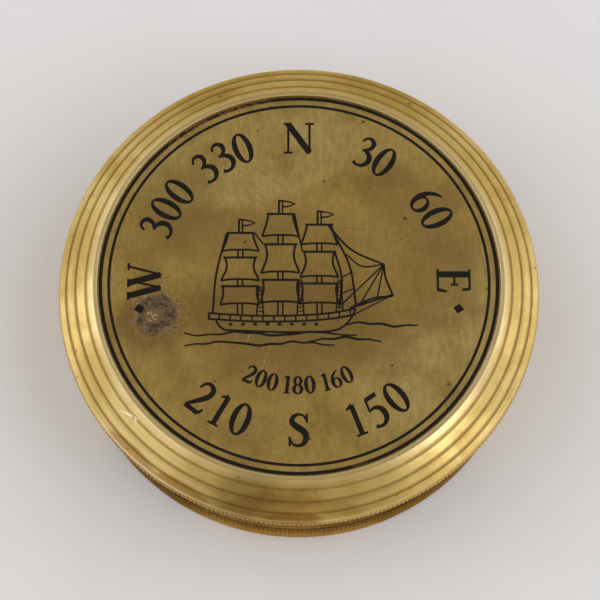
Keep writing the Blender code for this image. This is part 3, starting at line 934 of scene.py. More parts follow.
def spin(outline: Array, angles: Array, cut: Array | float = 0.0) -> Array:
    """Carries an outline round +Z.

    The point at row i and column j stands at radius r[i] - cut[i, j] in the direction angles[j], at height
    z[i].

    Args:
        outline: (rows, 2) radii and heights.
        angles: (columns,) angles in radians.
        cut: how much each point lies inside its radius.

    Returns:
        The grid, as (rows, columns, 3).
    """
    radius = outline[:, :1] - cut + np.zeros((len(outline), len(angles)))
    height = np.broadcast_to(outline[:, 1:2], radius.shape)
    return np.stack([radius * np.cos(angles), radius * np.sin(angles), height], -1)


def block(inner: float, outer: float, low: float, high: float, *edges: float) -> list[Corner]:
    """Four corners of a plain ring, from the top of the bore outwards and down, each with its rounding."""
    places = ((inner, high), (outer, high), (outer, low), (inner, low))
    return [(*place, edge) for place, edge in zip(places, edges, strict=True)]


def turned_ring(corners: Sequence[Corner], columns: int = 192, **marks: float) -> Surface:
    """A ring turned from a closed outline."""
    surface = Surface()
    surface.add(spin(soften(corners), round_angles(columns)), wrap_rows=True, wrap_columns=True, **marks)
    return surface


def turned_solid(
    corners: Sequence[Corner], columns: int = 96, spacing: float = 1e3, **marks: float
) -> Surface:
    """A solid turned from an outline that starts and ends near the axis, where two small faces fill it."""
    outline = refine(soften(corners, closed=False), spacing, closed=False)
    surface = Surface()
    surface.add(spin(outline, round_angles(columns)), wrap_columns=True, cap_rows=True, **marks)
    return surface


def smooth_step(value: Array, low: float, high: float) -> Array:
    """0 below low and 1 above high, with an S-shaped rise between them."""
    t = np.clip((value - low) / (high - low), 0.0, 1.0)
    return t * t * (3 - 2 * t)


@dataclass(frozen=True)
class Knurl:
    """A ring with straight knurling on its outside: rounded ribs with sharp valleys."""

    radius: float
    bottom: float
    top: float
    pitch: float = 0.72
    depth: float = 0.13
    ease: float = 0.1
    edge: float = 0.1
    wall: float = 0.6
    valley_dirt: float = 0.6
    tip_wear: float = 0.5
    shaded: tuple[float, float, float] = (0.0, 0.0, 0.0)
    columns_per_rib: int = 4

    @property
    def ribs(self) -> int:
        """How many ribs fit round the edge."""
        return round(2 * math.pi * self.radius / self.pitch)

    def surface(self, under_dirt: float = 0.0) -> Surface:
        """Builds the ring.

        A point's radius is less by depth x weight x (1 - |cos(half the rib's phase)|), which is round at the
        tips and sharp in the valleys. The weight rises from 0 to 1 over the ease at both edges. Shaded holds
        two heights and the extra painted shade that is reached between them.

        Args:
            under_dirt: grime that covers the whole ring evenly.

        Returns:
            The ring's surface, with its dirt, painted shade, wear and painted highlights.
        """
        r, low, high, inner = self.radius, self.bottom, self.top, self.radius - self.wall
        corners = [(inner, low, 0.0), (r, low, self.edge), (r, high, self.edge), (inner, high, 0.0)]
        outline = refine(soften(corners, steps=5), 0.45)
        angles = round_angles(self.columns_per_rib * self.ribs)
        height, radius = outline[:, 1], outline[:, 0]
        rise = smooth_step(height, low + 0.02, low + self.ease + 0.02)
        fall = 1 - smooth_step(height, high - self.ease - 0.02, high - 0.02)
        weight = (rise * fall * smooth_step(radius, inner + 0.1, r - 0.15))[:, None]
        valley = weight * (1 - np.abs(np.cos(0.5 * self.ribs * angles)))[None, :]
        # Shaded adds painted shade that grows from its first height to its second.
        start, end, extra = self.shaded
        higher = extra * smooth_step(height, start, end)[:, None] if extra else 0.0
        dirt = np.clip(self.valley_dirt * valley + under_dirt + higher, 0, 1)
        wear = np.clip(self.tip_wear * weight * (1 - 3 * valley), 0, 1)
        made = Surface()
        grid = spin(outline, angles, self.depth * valley)
        made.add(grid, wrap_rows=True, wrap_columns=True, dirt=dirt, wear=wear)
        return made


@dataclass(frozen=True)
class Thread:
    """A helical ridge on an upright wall."""

    radius: float
    start: float
    height: float
    pitch: float = 0.6
    turns: int = 2
    width: float = 0.6

    def ridge(self, outline: Array, angles: Array) -> Array:
        """How far each point of the wall stands out.

        The place along the thread is (z - start) / pitch less the share of a turn. Its fraction, over the
        ridge's share of a pitch, gives one hump of a raised cosine.
        """
        along = (outline[:, 1:2] - self.start) / self.pitch - angles[None, :] / (2 * np.pi)
        share = (along - np.floor(along)) / self.width
        hump = np.where(share < 1, 0.5 - 0.5 * np.cos(2 * np.pi * share), 0.0)
        inside = (along > 0) & (along < self.turns) & (np.abs(outline[:, :1] - self.radius) < 0.01)
        return self.height * np.where(inside, hump, 0.0)


# ------------------------------------------------------------------------
# Engraved and printed lines
# ------------------------------------------------------------------------


@dataclass(frozen=True)
class Stroke:
    """One cut of a graver: points in a line, with the width at each point."""

    points: tuple[tuple[float, float], ...]
    widths: tuple[float, ...]
    smooth: bool = False

    def centreline(self) -> tuple[Array, Array]:
        """Points and widths close enough together to draw.

        A smooth stroke follows a Catmull-Rom curve: between two points it is the cubic whose slope at each
        is half the step between that point's neighbours.
        """
        knots = np.array(self.points, float)
        widths = np.array(self.widths, float)
        if len(widths) != len(knots):
            widths = np.interp(np.linspace(0, 1, len(knots)), np.linspace(0, 1, len(widths)), widths)
        if not self.smooth:
            return knots, widths
        closed = np.allclose(knots[0], knots[-1])
        ghosts = (knots[-2], knots[1]) if closed else (2 * knots[0] - knots[1], 2 * knots[-1] - knots[-2])
        full = np.vstack([ghosts[0], knots, ghosts[1]])
        slope = (full[2:] - full[:-2]) / 2
        t = np.linspace(0, 1, 9)[:-1][None, :, None]
        a, b, da, db = knots[:-1, None], knots[1:, None], slope[:-1, None], slope[1:, None]
        curve = (2 * t**3 - 3 * t**2 + 1) * a + (t**3 - 2 * t**2 + t) * da
        curve = curve + (3 * t**2 - 2 * t**3) * b + (t**3 - t**2) * db
        line = np.vstack([curve.reshape(-1, 2), knots[-1:]])
        spread = np.interp(np.linspace(0, 1, len(line)), np.linspace(0, 1, len(knots)), widths)
        return line, spread

    def edges(self, weight: float) -> tuple[Array, Array]:
        """The stroke's left and right edges: its line, moved half its width times a weight to each side."""
        line, widths = self.centreline()
        widths = widths * weight
        slope = np.gradient(line, axis=0)
        slope /= np.maximum(np.linalg.norm(slope, axis=1, keepdims=True), 1e-9)
        side = np.stack([-slope[:, 1], slope[:, 0]], -1) * widths[:, None] / 2
        return line + side, line - side


def straight(
    x0: float, y0: float, x1: float, y1: float, width: float, end_width: float | None = None
) -> Stroke:
    """A straight stroke from one point to another."""
    return Stroke(((x0, y0), (x1, y1)), (width, width if end_width is None else end_width))


def curve(points: Sequence[tuple[float, float]], *widths: float) -> Stroke:
    """A smooth stroke whose widths are spread evenly over its points."""
    return Stroke(tuple(points), tuple(widths), True)


def oval(x: float, y: float, half_width: float, half_height: float, thin: float, thick: float) -> Stroke:
    """A closed oval, thick at its sides and thin at its top and bottom."""
    turn = np.linspace(0, 2 * np.pi, 17)
    points = np.stack([x + half_width * np.cos(turn), y + half_height * np.sin(turn)], -1)
    widths = thin + (thick - thin) * np.abs(np.cos(turn)) ** 1.5
    return Stroke(tuple(map(tuple, points)), tuple(widths), True)


@dataclass(frozen=True)
class Glyph:
    """A letter or a figure, one unit high, drawn with a broad pen."""

    width: float
    strokes: tuple[Stroke, ...]


THIN = 0.062
HEAVY = 0.165


def serif(x: float, y: float, half: float = 0.13) -> Stroke:
    """The small flat foot or head of a stem."""
    return straight(x - half, y, x + half, y, THIN)


def make_glyphs() -> dict[str, Glyph]:
    """The letters of the four main directions and ten figures, in a plain serif face."""
    top, foot = 1 - THIN / 2, THIN / 2
    end_tick = 0.09
    return {
        "N": Glyph(0.92, (
            straight(0.14, foot, 0.14, top, THIN), serif(0.14, foot), straight(0.0, top, 0.2, top, THIN),
            straight(0.13, top, 0.78, 0.03, HEAVY), straight(0.78, 0.0, 0.78, top, THIN), serif(0.78, top),
        )),
        "E": Glyph(0.76, (
            straight(0.18, foot, 0.18, top, HEAVY), straight(0.02, top, 0.66, top, THIN),
            straight(0.02, foot, 0.68, foot, THIN), straight(0.2, 0.52, 0.5, 0.52, THIN),
            straight(0.64, top, 0.66, 0.74, end_tick, THIN), straight(0.66, foot, 0.71, 0.29, end_tick, THIN),
            straight(0.5, 0.63, 0.5, 0.41, THIN),
        )),
        "S": Glyph(0.64, (
            curve(((0.53, 0.8), (0.44, 0.93), (0.3, 0.97), (0.15, 0.88), (0.13, 0.72), (0.3, 0.57),
                   (0.47, 0.44), (0.53, 0.27), (0.45, 0.09), (0.28, 0.03), (0.14, 0.09), (0.06, 0.24)),
                  0.05, 0.06, 0.12, 0.17, 0.17, 0.12, 0.06, 0.05),
            straight(0.54, 0.98, 0.55, 0.72, THIN), straight(0.06, 0.02, 0.05, 0.3, THIN),
        )),
        "W": Glyph(1.22, (
            straight(0.14, top, 0.4, 0.02, HEAVY), straight(0.4, 0.0, 0.6, 0.9, THIN),
            straight(0.54, top, 0.8, 0.02, HEAVY), straight(0.8, 0.0, 1.06, top, THIN),
            serif(0.14, top), serif(0.54, top), serif(1.06, top, 0.11),
        )),
        "0": Glyph(0.62, (oval(0.31, 0.5, 0.21, 0.47, 0.06, 0.145),)),
        "1": Glyph(0.5, (
            straight(0.28, foot, 0.28, 0.96, 0.13), serif(0.28, foot, 0.17),
            straight(0.29, 0.97, 0.1, 0.86, 0.09, THIN),
        )),
        "2": Glyph(0.62, (
            curve(((0.09, 0.72), (0.16, 0.9), (0.31, 0.97), (0.47, 0.87), (0.48, 0.68), (0.36, 0.46),
                   (0.2, 0.25), (0.06, 0.07)), 0.06, 0.09, 0.15, 0.13, 0.07),
            straight(0.05, 0.06, 0.52, 0.06, 0.12), straight(0.52, 0.06, 0.57, 0.24, 0.08, THIN),
        )),
        "3": Glyph(0.6, (
            curve(((0.1, 0.8), (0.18, 0.93), (0.32, 0.96), (0.44, 0.85), (0.42, 0.68), (0.3, 0.57),
                   (0.2, 0.54)), 0.06, 0.08, 0.13, 0.1, 0.05),
            curve(((0.2, 0.54), (0.37, 0.52), (0.5, 0.38), (0.5, 0.2), (0.38, 0.06), (0.22, 0.03),
                   (0.1, 0.09)), 0.05, 0.12, 0.155, 0.11, 0.07, 0.1),
        )),
        "4": Glyph(0.64, (
            straight(0.42, 0.0, 0.42, 0.97, 0.13), straight(0.42, 0.96, 0.05, 0.3, THIN),
            straight(0.04, 0.29, 0.6, 0.29, 0.09),
        )),
        "5": Glyph(0.6, (
            straight(0.17, 0.92, 0.53, 0.95, 0.12), straight(0.18, 0.95, 0.13, 0.56, THIN),
            curve(((0.12, 0.55), (0.28, 0.6), (0.43, 0.53), (0.5, 0.36), (0.47, 0.17), (0.34, 0.04),
                   (0.19, 0.03), (0.08, 0.08)), 0.05, 0.1, 0.15, 0.13, 0.07, 0.11),
        )),
        "6": Glyph(0.62, (
            curve(((0.52, 0.96), (0.34, 0.86), (0.18, 0.66), (0.11, 0.42), (0.13, 0.2)),
                  0.05, 0.1, 0.14, 0.13),
            oval(0.32, 0.29, 0.2, 0.26, 0.055, 0.13),
        )),
        "8": Glyph(0.62, (
            oval(0.31, 0.73, 0.165, 0.23, 0.06, 0.12), oval(0.31, 0.27, 0.205, 0.25, 0.06, 0.14),
        )),
    }


@dataclass
class Linework:
    """Thin raised bars that stand for filled or printed lines on a flat face."""

    base: float
    rise: float = 0.03
    weight: float = 1.0
    bars: int = 0
    glyphs: dict[str, Glyph] = field(default_factory=make_glyphs)
    surface: Surface = field(default_factory=Surface)

    def ribbon(self, left: Array, right: Array) -> None:
        """Adds a bar between two edges: a closed tube of four corners, a little narrower at its top.

        Each bar in turn is a hair taller or lower than the last, so that crossing bars share no face.
        """
        self.bars += 1
        across = right - left
        wide = np.linalg.norm(across, axis=1, keepdims=True)
        inset = across / np.maximum(wide, 1e-9) * np.minimum(0.12 * wide, 0.025)
        foot = np.full((len(left), 1), self.base - 0.02)
        top = np.full((len(left), 1), self.base + self.rise * (1 + 0.06 * (self.bars % 7)))
        corners = (
            np.hstack([left, foot]),
            np.hstack([left + inset, top]),
            np.hstack([right - inset, top]),
            np.hstack([right, foot]),
        )
        self.surface.add(np.stack(corners, 1), wrap_columns=True, cap_rows=True)

    def draw(
        self, strokes: Sequence[Stroke], scale: float = 1.0, turn: float = 0.0, at: Sequence[float] = (0, 0)
    ) -> None:
        """Draws strokes, scaled, turned anticlockwise by an angle in radians, and moved to a place."""
        c, s = math.cos(turn), math.sin(turn)
        spin_back = np.array([[c, s], [-s, c]])
        for stroke in strokes:
            left, right = (edge * scale @ spin_back + np.array(at) for edge in stroke.edges(self.weight))
            self.ribbon(left, right)

    def mark(
        self, text: str, angle: float, radius: float, height: float, reading: Reading, gap: float = 0.1
    ) -> None:
        """Writes a mark on a round scale.

        Each glyph stands straight at its own place on the circle. A mark that reads outwards has its head
        away from the centre, and one that reads inwards has its head towards it.

        Args:
            text: the glyphs.
            angle: where the middle of the mark stands, in degrees.
            radius: the inner edge of the scale's band.
            height: how high the glyphs are.
            reading: which way up they stand.
            gap: space between two glyphs, as a share of their height.
        """
        total = sum(self.glyphs[c].width for c in text) + gap * (len(text) - 1)
        middle = radius + height / 2
        along = -total / 2
        for c in text:
            glyph = self.glyphs[c]
            centre = along + glyph.width / 2
            place = math.radians(angle) - reading.value * centre * height / middle
            turn = place - reading.value * math.pi / 2
            shift = np.array([-glyph.width / 2, -0.5]) * height
            c_turn, s_turn = math.cos(turn), math.sin(turn)
            corner = (
                middle * math.cos(place) + shift[0] * c_turn - shift[1] * s_turn,
                middle * math.sin(place) + shift[0] * s_turn + shift[1] * c_turn,
            )
            self.draw(glyph.strokes, height, turn, corner)
            along += glyph.width + gap

    def circle(self, radius: float, width: float, columns: int = 360) -> None:
        """Adds a full circle: a ring of four corners carried round the centre."""
        half = width / 2
        outline = np.array([
            (radius - half, self.base - 0.02), (radius - 0.75 * half, self.base + self.rise),
            (radius + 0.75 * half, self.base + self.rise), (radius + half, self.base - 0.02),
        ])
        self.surface.add(spin(outline, round_angles(columns)), wrap_rows=True, wrap_columns=True)

    def diamond(self, angle: float, radius: float, half: float) -> None:
        """Adds a small square on its corner, whose corners point along the circle and across it."""
        a = math.radians(angle)
        out, side = np.array([math.cos(a), math.sin(a)]), np.array([-math.sin(a), math.cos(a)])
        ends, sides = out * (radius - half), side * half
        tip = 0.02 * side
        left = np.array([ends - tip, out * radius - sides, out * (radius + half) - tip])
        right = np.array([ends + tip, out * radius + sides, out * (radius + half) + tip])
        self.ribbon(left, right)

    def spike(self, angle: float, inner: float, outer: float, half_width: float) -> None:
        """Adds one half of a compass point: from the centre line to a side corner, up to the tip."""
        a = math.radians(angle)
        out, side = np.array([math.cos(a), math.sin(a)]), np.array([-math.sin(a), math.cos(a)])
        left = np.array([out * inner, out * outer])
        right = np.array([out * inner + side * half_width, out * outer + side * 0.02])
        self.ribbon(left, right)


# ------------------------------------------------------------------------
# Sub-assemblies
# ------------------------------------------------------------------------

BEARING_TO_ANGLE = 90.0


def angle_of(bearing: float) -> float:
    """The angle of a compass bearing, which runs clockwise from +Y."""
    return BEARING_TO_ANGLE - bearing


@dataclass
class Case:
    """The turned case ring with its knurled foot band and threaded neck, and the plate under it."""

    ring: NodeBox = boxed("case_body")
    plate: NodeBox = boxed("base_plate")
    seat: float = field(default_factory=lambda: NodeBox.of("glass_gasket").bottom - 0.05)
    dial_seat: float = field(default_factory=lambda: NodeBox.of("dial_plate").bottom - 0.05)
    foot_chamfer: float = 0.55
    grip_top: float = 4.8
    waist_radius: float = 35.6
    shoulder: float = 16.2
    neck_radius: float = 33.9
    neck_bore: float = 32.6
    well_radius: float = 31.5
    floor_bore: float = 26.0
    recess_depth: float = 2.0
    columns: int = 480
    # Heights over which the painted shade under the lid's overhang grows, and over which it eases off higher
    # up.
    darker_from_to: tuple[float, float] = (6.2, 9.4)
    lighter_from_to: tuple[float, float] = (10.0, 15.5)

    def outline(self) -> Array:
        """The ring's closed outline, from the foot up the outside and down the inside."""
        r, top, c = self.ring.radius, self.ring.top, self.foot_chamfer
        drop = r - self.waist_radius
        recess = self.plate.radius + 0.05
        sunk = r - 0.25
        corners = [
            (recess, 0.0, 0.08), (r - c, 0.0, 0.15), (sunk, c - 0.25, 0.0), (sunk, self.grip_top, 0.0),
            (self.waist_radius, self.grip_top + drop, 0.1), (self.waist_radius, self.shoulder, 0.12),
            (self.neck_radius, self.shoulder, 0.0), (self.neck_radius, top - 0.25, 0.0),
            (self.neck_radius - 0.25, top, 0.06), (self.neck_bore, top, 0.06),
            (self.neck_bore, self.seat, 0.0),
            (self.well_radius, self.seat, 0.06), (self.well_radius, self.dial_seat, 0.0),
            (self.floor_bore, self.dial_seat, 0.06), (self.floor_bore, self.recess_depth, 0.06),
            (recess, self.recess_depth, 0.0),
        ]
        return soften(corners)

    def make_ring(self) -> None:
        """Builds the ring: outline carried round, plus the thread's ridge on the neck."""
        angles = round_angles(self.columns)
        outline = refine_between(self.outline(), self.shoulder + 0.05, self.ring.top - 0.3, 0.1)
        outline = refine_between(outline, self.grip_top + 0.8, self.shoulder - 0.2, 0.8)
        ridge = Thread(self.neck_radius, self.shoulder + 0.1, 0.5).ridge(outline, angles)
        radius, height = outline[:, 0], outline[:, 1]
        outside = (radius > self.waist_radius - 0.1) & (height < self.shoulder + 0.01)
        # Painted shade on the outside below the lid, where its overhang shades the waist; the seam is a dark
        # joint.
        lighter_above = 1 - 0.45 * smooth_step(height, *self.lighter_from_to)
        painted_shade_under_lid = smooth_step(height, *self.darker_from_to) * lighter_above * outside
        seam = np.exp(-(((height - self.grip_top - 0.5) / 0.3) ** 2)) * outside
        dirt = np.clip(0.8 * painted_shade_under_lid + 0.5 * seam, 0, 1)[:, None]
        surface = Surface()
        grid = spin(outline, angles, -ridge)
        surface.add(grid, wrap_rows=True, wrap_columns=True, dirt=dirt, wear=0.0)
        surface.piece("case_body_turned", CASE_BRASS, Body.CASE, Slot.TURNED_BRASS, ["case_body"])

    def make_grip(self) -> None:
        """Builds the knurled band round the foot."""
        # The band is given painted shade from 2 to 4.4 mm up, under the lid's overhang.
        grip = Knurl(
            self.ring.radius, self.foot_chamfer - 0.15, self.grip_top + 0.1, pitch=0.69, depth=0.06,
            edge=0.25,
            valley_dirt=0.3, tip_wear=0.1, shaded=(2.0, 4.4, 0.65),
        )
        grip.surface(0.05).piece("case_foot_knurl", CASE_BRASS, Body.CASE, Slot.TURNED_BRASS)

    def make_plate(self) -> None:
        """Builds the base plate, a disc with a softly rounded edge."""
        r, low, high = self.plate.radius, self.plate.bottom, self.plate.top
        corners = block(MIDDLE_HOLE, r, low, high, 0, 0.1, 0.25, 0)
        surface = turned_solid(corners, 160, 3.0, dirt=0.0)
        surface.piece("base_plate_disc", SHEET_BRASS, Body.CASE, Slot.ENGRAVED_BRASS, ["base_plate"])

    def build(self) -> None:
        """Builds the case's own pieces."""
        self.make_ring()
        self.make_grip()
        self.make_plate()


@dataclass
class Dial:
    """The enamelled dial with its printed scale, the screws that hold it, and the sloping ring above it."""

    plate: NodeBox = boxed("dial_plate")
    ring: NodeBox = boxed("dial_ring")
    ring_foot: float = 29.7
    ring_lip: float = 30.8
    hole: float = 1.5
    scale_radius: float = 25.3
    figure_radius: float = 20.4
    figure_height: float = 2.5
    letter_radius: float = 17.2
    letter_height: float = 4.4
    long_tick: tuple[float, float] = (1.7, 0.28)
    short_tick: tuple[float, float] = (0.9, 0.12)
    rose_hub: float = 3.2
    long_point: tuple[float, float] = (15.2, 1.9)
    short_point: tuple[float, float] = (10.6, 1.4)
    print_rise: float = 0.012
    screws: tuple[str, ...] = ("dial_screw_1", "dial_screw_2", "dial_screw_3")

    def make_plate(self) -> None:
        """Builds the dial, a thin disc with a round hole and rounded edges."""
        r, low, high = self.plate.radius, self.plate.bottom, self.plate.top
        corners = [(self.hole, high, 0.08), (r, high, 0.08), (r, low, 0.05), (self.hole, low, 0.05)]
        surface = turned_ring(corners, 240)
        surface.piece("dial_plate_enamelled", DIAL_ENAMEL, Body.CASE, Slot.ENAMEL, ["dial_plate"])

    def make_ring(self) -> None:
        """Builds the ring whose inner face slopes from the dial up to the glass."""
        r, low, high = self.ring.radius, self.ring.bottom, self.ring.top
        corners = [
            (self.ring_lip, high, 0.06), (r, high, 0.05), (r, low, 0.05), (self.ring_foot, low, 0.05),
            (self.ring_foot + 0.2, low + 2.2, 0.3),
        ]
        surface = turned_ring(corners, 240, dirt=0.0, wear=0.0)
        surface.piece("dial_ring_sloping", FITTINGS_BRASS, Body.CASE, Slot.TURNED_BRASS, ["dial_ring"])

    def print_scale(self) -> None:
        """Prints ticks every 2 degrees, longer ones every 10, and a figure or a letter every 30."""
        work = Linework(self.plate.top, self.print_rise)
        for bearing in range(0, 360, 2):
            length, width = self.long_tick if bearing % 10 == 0 else self.short_tick
            a = math.radians(angle_of(bearing))
            inner = self.scale_radius - length
            out = np.array([math.cos(a), math.sin(a)])
            work.draw([straight(*(inner * out), *(self.scale_radius * out), width)])
        work.circle(self.scale_radius, 0.16)
        for bearing in range(30, 360, 30):
            if bearing % 90:
                radius, height = self.figure_radius, self.figure_height
                work.mark(str(bearing), angle_of(bearing), radius, height, Reading.OUTWARDS)
        for bearing, letter in ((90, "E"), (180, "S"), (270, "W")):
            work.mark(letter, angle_of(bearing), self.letter_radius, self.letter_height, Reading.OUTWARDS)
        work.surface.piece("dial_scale_print", DIAL_INK, Body.CASE)
        north = Linework(self.plate.top, self.print_rise)
        north.mark("N", angle_of(0), self.letter_radius, self.letter_height, Reading.OUTWARDS)
        north.surface.piece("dial_north_print", DIAL_RED, Body.CASE)

    def print_rose(self) -> None:
        """Prints an eight-pointed rose, each point filled on one side and outlined on the other."""
        work = Linework(self.plate.top, self.print_rise)
        for tip in range(0, 360, 45):
            long = tip % 90 == 0
            outer, half = self.long_point if long else self.short_point
            work.spike(tip, self.rose_hub, outer, half)
            a = math.radians(tip)
            out, side = np.array([math.cos(a), math.sin(a)]), np.array([math.sin(a), -math.cos(a)])
            foot, corner, end = out * self.rose_hub, out * self.rose_hub + side * half, out * outer
            work.draw([straight(*corner, *end, 0.14), straight(*foot, *corner, 0.14)])
        work.circle(3.1, 0.2, 96)
        work.circle(12.6, 0.14, 240)
        work.surface.piece("dial_rose_print", DIAL_INK, Body.CASE)

    def build(self) -> None:
        """Builds the dial's pieces, and dresses the screws that the frame holds."""
        self.make_plate()
        self.make_ring()
        self.print_scale()
        self.print_rose()
        for name in self.screws:
            dress_node(name, FITTINGS_BRASS)


def dress_node(name: str, finish: Finish) -> None:
    """Gives a CAD node that stays in view its material."""
    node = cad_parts[name]
    node.data.materials.clear()
    node.data.materials.append(finish.material())
    log.info("%s: CAD node dressed in %s", name, finish.name)


@dataclass
class Glazing:
    """The seal under the glass, the glass, and the split ring that holds it down."""

    gasket: NodeBox = boxed("glass_gasket")
    glass: NodeBox = boxed("glass")
    retainer: NodeBox = boxed("glass_retaining_ring")
    gasket_bore: float = 31.6
    retainer_bore: float = 31.3
    gap: float = 6.0

    def build(self) -> None:
        """Builds the three pieces, each turned from its own outline."""
        g, w = self.gasket, self.glass
        corners = block(self.gasket_bore, g.radius, g.bottom, g.top, 0.1, 0.1, 0.1, 0.1)
        surface = turned_ring(corners, 240)
        surface.piece("glass_gasket_soft", SEAL_RUBBER, Body.CASE, Slot.RUBBER, ["glass_gasket"])
        corners = [
            (MIDDLE_HOLE, w.top, 0), (w.radius - 0.25, w.top, 0.05), (w.radius, w.top - 0.25, 0.05),
            (w.radius, w.bottom, 0.1), (MIDDLE_HOLE, w.bottom, 0),
        ]
        turned_solid(corners, 240).piece("glass_disc", CLEAR_GLASS, Body.CASE, Slot.GLASS, ["glass"])
        t = self.retainer
        corners = block(self.retainer_bore, g.radius, t.bottom, t.top, 0.12, 0.05, 0.05, 0.05)
        half = math.radians(self.gap / 2)
        surface = Surface()
        grid = spin(soften(corners), np.linspace(half, 2 * np.pi - half, 260))
        surface.add(grid, wrap_rows=True, cap_columns=True, dirt=0.0, wear=0.0)
        name, replaced = "glass_ring_split", ["glass_retaining_ring"]
        surface.piece(name, FITTINGS_BRASS, Body.CASE, Slot.TURNED_BRASS, replaced)


@dataclass
class Pivot:
    """The post in the middle of the dial, its nut, and the hardened pin."""

    post: NodeBox = boxed("pivot_post")
    pin: NodeBox = boxed("pivot_pin")
    bore: float = 0.45
    bore_bottom: float = 9.8
    flange_height: float = 0.7
    shoulder: float = 12.2

    def build(self) -> None:
        """Builds the post and the pin, and dresses the nut that the frame holds under the dial."""
        r, low, high = self.post.radius, self.post.bottom, self.post.top
        step = NodeBox.of("dial_plate").top + 0.05
        corners = [
            (0.02, self.bore_bottom, 0), (self.bore, self.bore_bottom, 0), (self.bore, high, 0.05),
            (1.1, high, 0.1),
            (1.5, step + self.flange_height, 0.1), (r, step + self.flange_height, 0.15), (r, step, 0.05),
            (1.4, step, 0), (1.4, low, 0.15), (0.02, low, 0),
        ]
        surface = turned_solid(corners, 64, dirt=0.0, wear=0.0)
        surface.piece("pivot_post_turned", FITTINGS_BRASS, Body.CASE, Slot.TURNED_BRASS, ["pivot_post"])
        top, low = self.pin.top, self.pin.bottom
        corners = [
            (0.01, top, 0), (0.05, top - 0.03, 0.02), (0.4, self.shoulder, 0.1), (0.4, low, 0.05),
            (0.01, low, 0),
        ]
        surface = turned_solid(corners, 48, tint=0.0)
        surface.piece("pivot_pin_ground", NEEDLE_STEEL, Body.CASE, Slot.STEEL, ["pivot_pin"])
        dress_node("post_nut", FITTINGS_BRASS)


@dataclass
class Needle:
    """The lozenge blade, blued on its north half, with the cap and the jewel that it hangs from."""

    low: Vector = field(default_factory=lambda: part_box("needle_blade")[0] / MM)
    high: Vector = field(default_factory=lambda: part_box("needle_blade")[1] / MM)
    cap: NodeBox = boxed("needle_cap")
    jewel: NodeBox = boxed("needle_jewel")
    hole: float = 1.75
    bevel: float = 0.35

    def make_blade(self) -> None:
        """Builds the blade: rings between the round hole and a lozenge, whose rim is bevelled.

        The lozenge's radius is 1 / (|cos| / half width + |sin| / half length), and a ring at share t lies at
        hole + t times the rest of the way out.
        """
        angles = round_angles(480)
        half_width, half_length = self.high.x, self.high.y
        rim = 1 / (np.abs(np.cos(angles)) / half_width + np.abs(np.sin(angles)) / half_length)
        thick = self.high.z - self.low.z
        edge = 1 - self.bevel / half_width
        shares = np.array([0.0, 0.02, 0.5, edge, 1.0, 1.0, 0.5, 0.0])
        heights = self.low.z + thick * np.array([0.8, 1.0, 1.0, 1.0, 0.55, 0.2, 0.0, 0.0])
        radius = self.hole + shares[:, None] * (rim - self.hole)[None, :]
        height = np.broadcast_to(heights[:, None], radius.shape)
        grid = np.stack([radius * np.cos(angles), radius * np.sin(angles), height], -1)
        surface = Surface()
        surface.add(grid, wrap_rows=True, wrap_columns=True, tint=(grid[..., 1] > 0).astype(float))
        surface.piece("needle_blade_bevelled", NEEDLE_STEEL, Body.NEEDLE, Slot.BLUED, ["needle_blade"], 20.0)

    def build(self) -> None:
        """Builds the blade, the domed cap and the cupped jewel."""
        self.make_blade()
        c = self.cap
        blade_top = self.high.z
        corners = [
            (0.05, c.top, 0), (1.0, c.top, 0.3), (1.7, c.top - 1.2, 0.2), (1.75, blade_top + 0.55, 0.1),
            (c.radius, blade_top + 0.45, 0.15), (c.radius, blade_top + 0.05, 0.05),
            (1.7, blade_top + 0.05, 0),
            (1.7, c.bottom, 0.08), (1.0, c.bottom, 0.05), (1.0, c.top - 0.65, 0), (0.05, c.top - 0.65, 0),
        ]
        surface = turned_solid(corners, 96, dirt=0.0, wear=0.0)
        surface.piece("needle_cap_domed", FITTINGS_BRASS, Body.NEEDLE, Slot.TURNED_BRASS, ["needle_cap"])
        j = self.jewel
        corners = [
            (0.05, j.top, 0), (j.radius, j.top, 0.08), (j.radius, j.bottom, 0.08), (0.5, j.bottom, 0.05),
            (0.03, j.top - 0.55, 0),
        ]
        surface = turned_solid(corners, 64)
        surface.piece("needle_jewel_cupped", JEWEL_RED, Body.NEEDLE, Slot.JEWEL, ["needle_jewel"])


